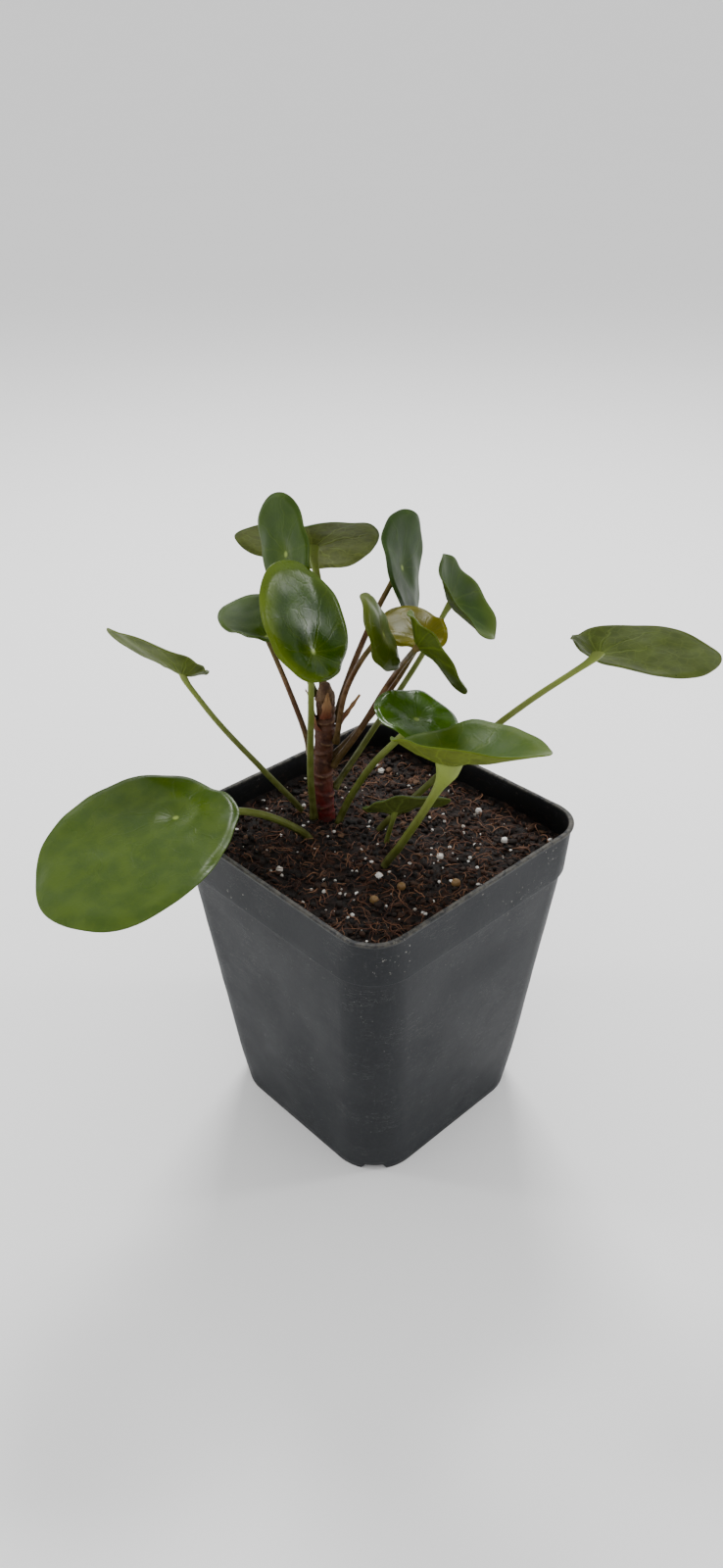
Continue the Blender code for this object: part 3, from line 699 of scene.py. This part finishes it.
def pot_profile():
    """Height, half side and corner radius up the outer face, and the same down the inner face to the floor.

    On each level the corner arc starts where a flat side ends. That point is furthest out and nearest the
    middle of its side, so its larger coordinate is the half side and the difference of the two is the
    corner radius.
    """
    solid = node_points("pot")
    heights = np.unique(np.round(solid[:, 2], 5))

    def row(number, outer):
        level = np.abs(solid[np.abs(solid[:, 2] - heights[number]) < SAME_LEVEL][:, :2])
        level = level[level[:, 0] > level[:, 1]]
        level = level[np.argsort(level[:, 1])][: 8 if number in SHARED_LEVELS else 1]
        pick = level[np.argmax(level[:, 0])]
        if number in SHARED_LEVELS and not outer:
            flat_ends = level[level[:, 1] < level[0, 1] + SAME_END]
            pick = flat_ends[np.argmin(flat_ends[:, 0])]
        return heights[number], pick[0], pick[0] - pick[1]

    return np.array([row(k, True) for k in OUTER_LEVELS]), np.array([row(k, False) for k in INNER_LEVELS])


def eased_profile(rows, radius, steps, spacing):
    """The profile with each corner replaced by a quadratic arc that starts and ends at the radius."""
    rows = np.asarray(rows)
    size = np.linalg.norm(np.diff(rows[:, :2], axis=0), axis=1)
    points = [rows[0]]
    for k in range(1, len(rows) - 1):
        before = rows[k] + (rows[k - 1] - rows[k]) * min(0.45, radius / size[k - 1])
        after = rows[k] + (rows[k + 1] - rows[k]) * min(0.45, radius / size[k])
        gap = np.linalg.norm((before - points[-1])[:2])
        fill = max(1, int(gap / spacing))
        points += list(points[-1] + (before - points[-1]) * (np.arange(1, fill) / fill)[:, None])
        t = np.linspace(0, 1, steps)[:, None]
        points += list((1 - t) ** 2 * before + 2 * t * (1 - t) * rows[k] + t**2 * after)
    points.append(rows[-1])
    return np.array(points)


def square_columns(arc_steps, side_steps):
    """Signs and directions of points round a square: a point is (half - corner) sign + corner direction."""
    signs = np.array([[1, 1], [-1, 1], [-1, -1], [1, -1]], float)
    sign, heading = [], []
    for quarter in range(4):
        start = quarter * math.pi / 2
        sign.append(np.repeat(signs[quarter][None], arc_steps + 1, 0))
        heading.append(start + np.linspace(0, math.pi / 2, arc_steps + 1))
        share = (np.arange(1, side_steps) / side_steps)[:, None]
        sign.append(signs[quarter] * (1 - share) + signs[(quarter + 1) % 4] * share)
        heading.append(np.full(side_steps - 1, start + math.pi / 2))
    sign, heading = np.vstack(sign), np.concatenate(heading)
    return sign, np.stack([np.cos(heading), np.sin(heading)], -1)


def square_rings(rows, sign, direction):
    """Rings of a rounded square, one for each row of height, half side and corner radius."""
    z, half, corner = (rows[:, k][:, None, None] for k in range(3))
    flat = (half - corner) * sign + corner * direction
    return np.concatenate([flat, np.broadcast_to(z, (*flat.shape[:2], 1))], -1)


ROUNDING = 0.45 * MM
ROW_SPACING = 2.2 * MM
NOTCH_HALF = 3.3 * MM
NOTCH_TALL = 2.4 * MM


def build_pot():
    """The pot: a rounded-square profile swept round, with four low arches at the corners of its foot."""
    outer = OUTER_PROFILE
    rows = eased_profile(np.vstack([outer, INNER_PROFILE]), ROUNDING, 5, ROW_SPACING)
    foot = outer[0] - np.array([0, 9.5 * MM, 5 * MM])
    rows = np.vstack([foot, rows])
    sign, direction = square_columns(36, 24)
    rings = square_rings(rows, sign, direction)
    x, y, z = rings[..., 0], rings[..., 1], rings[..., 2]
    number = np.arange(len(rows))
    first_inside = 1 + np.argmax(rows[:, 0] > outer[-1][0] - 0.05 * MM)
    swell = 0.10 * MM * bumps(x + y + 1, z + 1, 0.021, 3)
    swell = swell + 0.05 * MM * bumps(x - y + 1, z * 1.3 + 2, 0.009, 4)
    swell = swell * ease(z, 0.004, 0.02) * (1 - ease(z, outer[2][0] - 0.006, outer[2][0]))
    outward = unit(np.stack([x, y, 0 * z], -1))
    rings = rings + (swell * (number < first_inside)[:, None])[..., None] * outward
    rim = ease(z, outer[-1][0] - 0.9 * MM, outer[-1][0])
    rings[..., 2] += rim * 0.09 * MM * bumps(x + 0.3, y + 0.3, 0.0022, 8)
    lateral = np.minimum(np.abs(x - y), np.abs(x + y)) / math.sqrt(2)
    near_corner = np.minimum(np.abs(x), np.abs(y)) > 0.6 * np.maximum(np.abs(x), np.abs(y))
    near_foot = (number > 0) & (number < len(rows) // 2)
    arch = (1 - ease(lateral, NOTCH_HALF, NOTCH_HALF + 0.7 * MM)) * near_corner * near_foot[:, None]
    rings[..., 2] = np.maximum(rings[..., 2], NOTCH_TALL * arch)
    # inside is 1 on the inner face, which pot_plastic paints nearly black as painted shade.
    inside = ease(number - first_inside, 2, 8)
    extras = {"inside": np.repeat(inside[:, None], rings.shape[1], 1)}
    finish_piece("square_pot", closed_skin("square_pot", rings, extras), SKINS["pot"], ["pot"])


# ---- soil ----------------------------------------------------------------------------------------

# Points along one side of the crust's grid, and how many of each loose thing are strewn on it.
CRUST_POINTS = 236
CRUMBS = 2600
CHIPS = 90
DUST_GRAINS = 210
COIR_FIBRES = 1500
PERLITE_SOLIDS = 6
PRILL_SOLIDS = 3


def soil_height(x, y):
    """The soil's surface: the level of its solid, shallow swells, and crumbs at three sizes."""
    lumps = 0.75 * bumps(x + 1, y + 1, 0.0062, 21) + 0.55 * np.abs(bumps(x + 1.3, y + 1.1, 0.0027, 22))
    crumbs = 0.30 * bumps(x + 1.7, y + 1.2, 0.0013, 23) + 0.16 * bumps(x + 1.9, y + 1.4, 0.0007, 24)
    return soil_top() + (0.35 + 0.55 * lumps + 0.75 * crumbs) * MM


def build_soil():
    """A crust over the soil's solid: a square grid with its corners drawn in round, and closed underneath.

    The crust rises where it meets the pot and dips by half a millimetre in the middle. The function returns
    its half side and corner radius.
    """
    level = soil_top()
    heights, halves, corners = INNER_PROFILE[::-1].T
    half = float(np.interp(level, heights, halves)) + 0.3 * MM
    corner = float(np.interp(level, heights, corners))
    count = CRUST_POINTS
    line = np.linspace(-1, 1, count)
    u, v = np.meshgrid(line * half, line * half, indexing="ij")
    dx, dy = np.maximum(np.abs(u) - (half - corner), 0), np.maximum(np.abs(v) - (half - corner), 0)
    shrink = np.where((dx > 0) & (dy > 0), np.maximum(dx, dy) / np.maximum(np.hypot(dx, dy), 1e-9), 1)
    x = np.sign(u) * (np.minimum(np.abs(u), half - corner) + dx * shrink)
    y = np.sign(v) * (np.minimum(np.abs(v), half - corner) + dy * shrink)
    edge = np.minimum(half - np.abs(u), half - np.abs(v))
    rise = 0.9 * MM * (1 - ease(edge, 0.0, 3.5 * MM))
    z = soil_height(x, y) + rise * (0.6 + bumps(x + 2, y + 2, 0.004, 25))
    z = z - 0.5 * MM * ease(0.004 - np.hypot(x, y), 0, 0.004)
    top = np.stack([x, y, z], -1).reshape(-1, 3)
    base = np.stack([x, y, 0 * z + level - 3 * MM], -1).reshape(-1, 3)
    i, j = np.meshgrid(np.arange(count - 1), np.arange(count - 1), indexing="ij")
    a = (i * count + j).ravel()
    up = np.stack([a, a + count, a + count + 1, a + 1], -1)
    n = count * count
    k = np.arange(count)
    first_side, second_side = k * count, (count - 1) * count + k[1:]
    third_side, last_side = (k[::-1] * count + count - 1)[1:], k[::-1]
    rim = np.concatenate([first_side, second_side, third_side, last_side[1:]])
    sides = np.stack([rim[:-1], rim[:-1] + n, rim[1:] + n, rim[1:]], -1)
    faces = np.vstack([up, up[:, ::-1] + n, sides[:, ::-1]])
    finish_piece("soil_surface", mesh_of("soil_surface", np.vstack([top, base]), faces), SKINS["soil"],
                 [])
    return half, corner


def pebble(detail):
    """Corners and faces of a ball of triangles with a radius of 1."""
    ball = bmesh.new()
    bmesh.ops.create_icosphere(ball, subdivisions=detail, radius=1.0)
    mesh = bpy.data.meshes.new("ball")
    ball.to_mesh(mesh)
    ball.free()
    points = np.empty(len(mesh.vertices) * 3)
    faces = np.empty(len(mesh.loops), np.int32)
    mesh.vertices.foreach_get("co", points)
    mesh.loops.foreach_get("vertex_index", faces)
    bpy.data.meshes.remove(mesh)
    return points.reshape(-1, 3), faces.reshape(-1, 3)


def scatter(count, inset, half, corner, rng):
    """Random places on the soil that keep the inset from its sides and its round corners."""
    spots = rng.uniform(-1, 1, (count, 2)) * (half - inset)
    over = np.maximum(np.abs(spots) - (half - corner), 0)
    return spots[np.hypot(over[:, 0], over[:, 1]) < corner - inset]


def rough_grains(count, sizes, detail, half, corner, rng, sink, flat=(0.6, 1.0), dents=0.25):
    """Grains strewn on the soil: balls stretched at random, dented by smooth noise, turned and part sunk."""
    ball, faces = pebble(detail)
    spots = scatter(count, 1.5 * MM, half, corner, rng)
    count = len(spots)
    size = rng.uniform(sizes[0] ** 0.5, sizes[1] ** 0.5, count) ** 2
    stretch = rng.uniform(0.65, 1.25, (count, 3))
    stretch[:, 2] *= rng.uniform(*flat, count)
    turn = rng.uniform(0, TURN, count)
    shift = rng.uniform(0, 50, (count, 1))
    wave = np.sin(ball[None, :, 0] * 3.1 + shift) * np.cos(ball[None, :, 1] * 4.3 + 2 * shift)
    wave = wave + 0.6 * np.sin(ball[None, :, 2] * 6.7 + 3 * shift)
    body = ball[None] * (1 + dents * wave[..., None]) * stretch[:, None] * size[:, None, None] / 2
    c, s = np.cos(turn)[:, None], np.sin(turn)[:, None]
    x = body[..., 0] * c - body[..., 1] * s + spots[:, :1]
    y = body[..., 0] * s + body[..., 1] * c + spots[:, 1:]
    z = body[..., 2] + (soil_height(spots[:, 0], spots[:, 1]) + size * (0.5 - sink))[:, None]
    points = np.stack([x, y, z], -1).reshape(-1, 3)
    all_faces = (faces[None] + (np.arange(count) * len(ball))[:, None, None]).reshape(-1, 3)
    return points, all_faces, np.repeat(rng.uniform(0, 1, count), len(ball))


def fibres(count, rng, half, corner, lengths, thick, lift, sides=4, rows=9):
    """Curled fibres lying on the soil: thin closed tubes along an arc with a wavering heading."""
    spots = scatter(count, 3 * MM, half, corner, rng)
    count = len(spots)
    length = rng.uniform(*lengths, count) * MM
    t = np.linspace(-0.5, 0.5, rows)[None]
    heading = rng.uniform(0, TURN, (count, 1))
    bend = rng.normal(0, 1.3, (count, 1))
    wander = heading + bend * t + 0.5 * np.sin(rng.uniform(0, TURN, (count, 1)) + 7 * t)
    step = length[:, None] / (rows - 1)
    x = spots[:, :1] + np.cumsum(np.cos(wander) * step, 1) - 0.5 * length[:, None] * np.cos(heading)
    y = spots[:, 1:] + np.cumsum(np.sin(wander) * step, 1) - 0.5 * length[:, None] * np.sin(heading)
    inside = half - 0.8 * MM
    x, y = np.clip(x, -inside, inside), np.clip(y, -inside, inside)
    rise = rng.uniform(0, 1, (count, 1)) ** 3 * lift * MM
    z = soil_height(x, y) + 0.25 * MM + rise * (0.25 - t**2) * 4 + rng.uniform(-0.2, 0.35, (count, 1)) * MM
    path = np.stack([x, y, z], -1)
    along = unit(np.gradient(path, axis=1))
    first = unit(np.cross(along, UP))
    second = np.cross(along, first)
    angle = np.linspace(0, TURN, sides, endpoint=False)
    radius = (rng.uniform(*thick, (count, 1)) * MM / 2 * (1 - 0.75 * np.abs(2 * t) ** 3))[..., None, None]
    ring = np.cos(angle)[:, None] * first[:, :, None] + np.sin(angle)[:, None] * second[:, :, None]
    rings = path[:, :, None] + radius * ring
    points = rings.reshape(-1, 3)
    quads = ring_quads(rows, sides)
    ends = np.array([[3, 2, 1, 0], [(rows - 1) * sides + k for k in range(4)]])
    one = np.vstack([quads, ends])
    faces = (one[None] + (np.arange(count) * rows * sides)[:, None, None]).reshape(-1, 4)
    return points, faces, np.repeat(rng.uniform(0, 1, count), rows * sides)


def strew_soil(half, corner):
    """Everything that lies loose on the soil: peat crumbs, coir, chips of bark, perlite and tan prills."""
    rng = np.random.default_rng(7)
    crumbs = rough_grains(CRUMBS, (0.5 * MM, 2.4 * MM), 1, half, corner, rng, 0.3)
    chips = rough_grains(CHIPS, (0.8 * MM, 3.2 * MM), 2, half, corner, rng, 0.3, flat=(0.15, 0.35), dents=0.4)
    dust = rough_grains(DUST_GRAINS, (0.25 * MM, 1.5 * MM), 2, half, corner, rng, 0.15)
    coir = fibres(COIR_FIBRES, rng, half, corner, (1.5, 9.5), (0.12, 0.36), 2.0)
    for name, (points, faces, tone), skin, slot in (
        ("peat_crumbs", crumbs, "crumb", "potting_mix"),
        ("bark_chips", chips, "chip", "potting_mix"),
        ("perlite_dust", dust, "perlite", "perlite"),
        ("coir_fibres", coir, "fibre", "potting_mix"),
    ):
        finish_piece(name, mesh_of(name, points, faces, {"tone": tone}), SKINS[skin], [])
    ball, faces = pebble(4)
    for kind, count in (("perlite", PERLITE_SOLIDS), ("prill", PRILL_SOLIDS)):
        for index in range(1, count + 1):
            low, high = (np.array(c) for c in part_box(f"{kind}_{index}"))
            size, middle = (high - low).min() / 2, (low + high) / 2
            dent = 0.16 * np.sin(ball[:, 0] * 3.3 + 5 * index) * np.cos(ball[:, 1] * 4.1 + 3 * index)
            dent = dent + 0.08 * np.sin(ball[:, 2] * 9 + index)
            dent = dent + 0.05 * np.sin(ball[:, 0] * 17) * np.sin(ball[:, 1] * 15)
            dent = dent * (1.0 if kind == "perlite" else 0.12)
            middle[2] = soil_height(middle[:1], middle[1:2])[0] + size * 0.55
            points = middle + ball * (1 + dent)[:, None] * size * 1.06
            name = f"{kind}_grain_{index}"
            mesh = mesh_of(name, points, faces, {"tone": np.full(len(points), (0.37 * index) % 1)})
            finish_piece(name, mesh, SKINS[kind], [f"{kind}_{index}"])


# ---- finishes of pot, soil and stem --------------------------------------------------------------

def pot_skin(rim_height):
    """Matt dark plastic: faint clouds, scuffs, dust, mineral specks and a painted highlight along the rim's
    lip;
    the inner face has painted shade, nearly black, and soil stains.
    """
    f = Finish("pot_plastic", ior=1.25)
    z = f.split(f.place)[2]
    inside = f.attribute("inside")
    cloud = f.noise(0.03, 4.0)
    colour = f.mix(cloud, paint(27, 29, 32), paint(35, 37, 40))
    grain = f.noise(0.0011, 3.0)
    colour = f.mix(f.span(grain, 0.35, 0.7, 0.0, 0.35), colour, paint(43, 45, 47))
    scuff = f.noise(0.0042, 6.0, stretch=(2.4, 2.4, 0.6), rough=0.75)
    scuff = f.span(scuff, 0.56, 0.70)
    colour = f.mix(f.times(scuff, 0.30), colour, paint(74, 75, 75))
    scratch = f.noise(0.0035, 2.0, stretch=(0.35, 0.35, 2.6), rough=0.8)
    fine = f.span(f.maths("ABSOLUTE", f.minus(scratch, 0.5)), 0.0, 0.006, 1.0, 0.0)
    fine = f.times(fine, f.span(f.noise(0.013, 2.0), 0.50, 0.60))
    colour = f.mix(f.times(fine, 0.6), colour, paint(100, 100, 99))
    dark = f.span(f.cells(0.0052), 0.035, 0.07, 1.0, 0.0)
    dark = f.times(dark, f.span(f.noise(0.017, 1.0), 0.45, 0.55))
    colour = f.mix(f.times(dark, 0.8), colour, paint(8, 7, 6))
    high = f.span(z, rim_height - 0.030, rim_height - 0.004)
    crust = f.span(f.noise(0.0016, 5.0, rough=0.75), 0.62, 0.66)
    patch = f.span(f.noise(0.011, 2.0), 0.52, 0.62)
    crust = f.times(f.times(crust, patch), f.plus(f.times(high, 0.9), 0.1))
    colour = f.mix(crust, colour, paint(158, 156, 148))
    dust = f.span(f.cells(0.0024), 0.05, 0.085, 1.0, 0.0)
    dust = f.times(dust, f.span(f.noise(0.02, 2.0), 0.48, 0.62))
    colour = f.mix(f.times(dust, 0.5), colour, paint(140, 139, 134))
    # Painted highlight: a pale broken line along the top of the rim's lip.
    lip = f.span(z, rim_height - 0.0011, rim_height - 0.0003)
    painted_lip_highlight = f.times(lip, f.span(f.noise(0.0021, 4.0, rough=0.7), 0.34, 0.60))
    colour = f.mix(f.times(painted_lip_highlight, 0.55), colour, paint(96, 92, 84))
    # Painted shade: the inner face is painted nearly black, as if in shadow.
    colour = f.mix(f.times(inside, 0.94), colour, paint(7, 7, 7))
    soiled = f.times(inside, f.span(f.noise(0.003, 4.0), 0.56, 0.7))
    colour = f.mix(f.times(soiled, 0.5), colour, paint(44, 32, 24))
    rough = f.span(cloud, 0.3, 0.7, 0.46, 0.60)
    rough = f.plus(rough, f.times(scuff, 0.12))
    height = f.plus(f.times(grain, 0.5), f.times(f.noise(0.0004, 2.0), 0.5))
    height = f.plus(height, f.times(crust, 1.2))
    height = f.minus(height, f.times(fine, 0.5))
    f.bump(height, 0.00010, 0.5)
    return f.done(colour, rough)


def soil_skin(name, dark, light, red, size):
    """Dull crumbly earth, from nearly black to red-brown, a little glossy where it is damp."""
    dark, light, red = (paint(*colour) for colour in (dark, light, red))
    f = Finish(name, specular_ior_level=0.25)
    colour = f.mix(f.span(f.noise(size, 5.0, rough=0.7), 0.36, 0.66), dark, light)
    colour = f.mix(f.span(f.noise(size * 2.6, 3.0), 0.54, 0.68, 0.0, 0.8), colour, red)
    colour = f.mix(f.span(f.cells(0.0011), 0.07, 0.13, 0.5, 0.0), colour, paint(92, 72, 56))
    f.bump(f.noise(0.0005, 5.0, rough=0.75), 0.0004, 0.9)
    return f.done(colour, f.span(f.noise(0.004, 3.0), 0.4, 0.7, 0.62, 0.95))


def tone_skin(name, stops, rough, grain, depth, level=0.4):
    """A colour that changes from piece to piece with the tone kept in each, over a fine grain."""
    low, middle, high = (paint(*stop) for stop in stops)
    f = Finish(name, specular_ior_level=level)
    tone = f.attribute("tone")
    colour = f.mix(f.span(tone, 0.0, 0.5), low, middle)
    colour = f.mix(f.span(tone, 0.5, 1.0), colour, high)
    noise = f.noise(grain, 4.0, rough=0.7)
    colour = f.mix(f.span(noise, 0.5, 0.75, 0.0, 0.6), colour, scaled(low, 0.45))
    f.bump(noise, depth, 0.8)
    return f.done(colour, f.span(noise, 0.3, 0.7, rough - 0.06, rough + 0.08))


def bark_skin():
    """Young bark: deep red at the foot, brown further up, tan on the raised scars, greenish at the crown."""
    f = Finish("stem_bark", specular_ior_level=0.35)
    along, scar = f.attribute("along"), f.attribute("scar")
    colour = f.mix(f.span(along, 0.26, 0.55), paint(84, 12, 8), paint(74, 40, 20))
    colour = f.mix(f.span(along, 0.72, 1.0), colour, paint(86, 60, 26))
    patch = f.span(f.noise(0.0028, 4.0), 0.42, 0.66)
    colour = f.mix(f.times(patch, 0.7), colour, paint(44, 18, 12))
    pale = f.times(f.span(scar, 0.50, 0.78), f.span(f.noise(0.0016, 4.0), 0.36, 0.6))
    colour = f.mix(f.times(pale, 0.7), colour, paint(132, 104, 74))
    peel = f.span(f.noise(0.0009, 4.0, stretch=(1, 1, 0.35), rough=0.7), 0.60, 0.70)
    colour = f.mix(f.times(peel, 0.55), colour, paint(120, 82, 54))
    f.bump(f.noise(0.0006, 5.0, stretch=(1, 1, 0.5), rough=0.7), 0.00028, 0.9)
    return f.done(colour, f.span(patch, 0.0, 1.0, 0.55, 0.72))


def scale_skin():
    """Dry thin tissue: red-brown at its base, tan and streaked lengthwise towards its torn tip."""
    f = Finish("dry_scale", roughness=0.55)
    along = f.attribute("along")
    colour = f.mix(f.span(along, 0.0, 0.8), paint(96, 44, 20), paint(150, 112, 68))
    streak = f.noise(0.0007, 4.0, stretch=(1, 1, 0.15), rough=0.7)
    colour = f.mix(f.span(streak, 0.5, 0.7, 0.0, 0.7), colour, paint(58, 30, 14))
    f.bump(streak, 0.0002, 0.8)
    return f.done(colour)


OUTER_PROFILE, INNER_PROFILE = pot_profile()

SKINS = {
    "pot": pot_skin(OUTER_PROFILE[-1][0]),
    "soil": soil_skin("soil_crust", (8, 5, 3), (28, 17, 11), (54, 31, 19), 0.0018),
    "deep_soil": soil_skin("soil_below", (12, 8, 6), (30, 20, 15), (44, 28, 20), 0.003),
    "crumb": tone_skin("peat_crumb", ((8, 5, 3), (26, 16, 10), (58, 36, 23)), 0.8, 0.0006, 0.0003, 0.3),
    "chip": tone_skin("bark_chip", ((30, 18, 11), (52, 33, 21), (92, 66, 45)), 0.75, 0.0009, 0.0003, 0.3),
    "fibre": tone_skin("coir_fibre", ((50, 26, 15), (92, 54, 34), (140, 98, 68)), 0.6, 0.0007, 0.0001),
    "perlite": tone_skin(
        "perlite", ((214, 210, 204), (226, 224, 218), (190, 182, 172)), 0.85, 0.0003, 0.0002, 0.3
    ),
    "prill": tone_skin("prill", ((112, 84, 46), (126, 98, 58), (104, 80, 44)), 0.42, 0.0009, 0.00004),
    "bark": bark_skin(),
    "scale": scale_skin(),
    "green": stalk_skin("green_stalk", (58, 58, 18), (84, 92, 34), (122, 136, 62), (112, 118, 70)),
    "brown": stalk_skin("brown_stalk", (66, 52, 24), (74, 48, 26), (92, 82, 42), (140, 112, 78)),
}


# ---- stage ---------------------------------------------------------------------------------------

def area_light(name, heading, height, distance, width, tall, power, target):
    """A soft panel that faces the target from a heading and height, both in degrees."""
    a, e = math.radians(heading), math.radians(height)
    outward = Vector((math.cos(a) * math.cos(e), math.sin(a) * math.cos(e), math.sin(e)))
    data = bpy.data.lights.new(name, "AREA")
    data.shape, data.size, data.size_y, data.energy = "RECTANGLE", width, tall, power
    lamp = bpy.data.objects.new(name, data)
    lamp.location = target + outward * distance
    lamp.rotation_mode = "QUATERNION"
    lamp.rotation_quaternion = outward.to_track_quat("Z", "Y")
    bpy.context.scene.collection.objects.link(lamp)


def build_stage():
    """A pale floor that curves up far away, an even pale surround and soft panels left, right and behind."""
    flat, curl, columns = 6.0, 8.0, 96
    bend = np.linspace(0, math.pi / 2, 24)
    reach = np.concatenate([[0.0005, 0.6], flat + curl * np.sin(bend)])
    height = np.concatenate([[0.0, 0.0], curl * (1 - np.cos(bend))]) - 0.0002
    angle = np.linspace(0, TURN, columns, endpoint=False)
    x, y = reach[:, None] * np.cos(angle), reach[:, None] * np.sin(angle)
    rings = np.stack([x, y, 0 * angle + height[:, None]], -1)
    faces = ring_quads(len(reach), columns)
    floor_mesh = mesh_of("floor", rings.reshape(-1, 3), faces[:, ::-1])
    floor_mesh.shade_smooth()
    floor = bpy.data.objects.new("floor", floor_mesh)
    bpy.context.scene.collection.objects.link(floor)
    pale = Finish("floor_paper", roughness=0.9, specular_ior_level=0.1)
    tint = pale.mix(pale.noise(0.4, 2.0), (0.92, 0.92, 0.92, 1), (0.94, 0.94, 0.94, 1))
    floor_mesh.materials.append(pale.done(tint))
    world = bpy.data.worlds.new("surround")
    world.use_nodes = True
    world.node_tree.nodes["Background"].inputs["Color"].default_value = (1.0, 1.0, 1.0, 1)
    world.node_tree.nodes["Background"].inputs["Strength"].default_value = WORLD_STRENGTH
    bpy.context.scene.world = world
    target = Vector((0, 0, 0.12))
    for name, heading, height, distance, width, tall, power in PANELS:
        area_light(name, heading, height, distance, width, tall, power, target)


def build_camera():
    """The camera looks at the plant's middle from the given heading and height, turned by a small roll."""
    a, e, roll = math.radians(VIEW_HEADING), math.radians(VIEW_HEIGHT), VIEW_ROLL
    back = np.array([math.sin(a) * math.cos(e), -math.cos(a) * math.cos(e), math.sin(e)])
    right = np.array([math.cos(a), math.sin(a), 0.0])
    up = np.cross(back, right)
    right, up = right * math.cos(roll) + up * math.sin(roll), up * math.cos(roll) - right * math.sin(roll)
    data = bpy.data.cameras.new("camera")
    data.lens, data.sensor_width, data.clip_start, data.clip_end = LENS, 36.0, 0.01, 20.0
    camera = bpy.data.objects.new("camera", data)
    bpy.context.scene.collection.objects.link(camera)
    place = np.eye(4)
    place[:3, 0], place[:3, 1], place[:3, 2] = right, up, back
    place[:3, 3] = np.array([0, 0, VIEW_LIFT]) + right * VIEW_SIDE + back * VIEW_DISTANCE
    camera.matrix_world = Matrix(place.tolist())
    bpy.context.scene.camera = camera


# ---- put together --------------------------------------------------------------------------------

build_camera()
build_stage()
build_pot()
soil_half, soil_corner = build_soil()
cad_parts["soil"].data.materials.clear()
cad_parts["soil"].data.materials.append(SKINS["deep_soil"])
strew_soil(soil_half, soil_corner)
build_stem()
build_scales()
build_stub()
for leaf_seed, leaf_name in enumerate(LOOKS, 1):
    build_stalk(leaf_name, build_leaf(leaf_name, leaf_seed), leaf_seed)
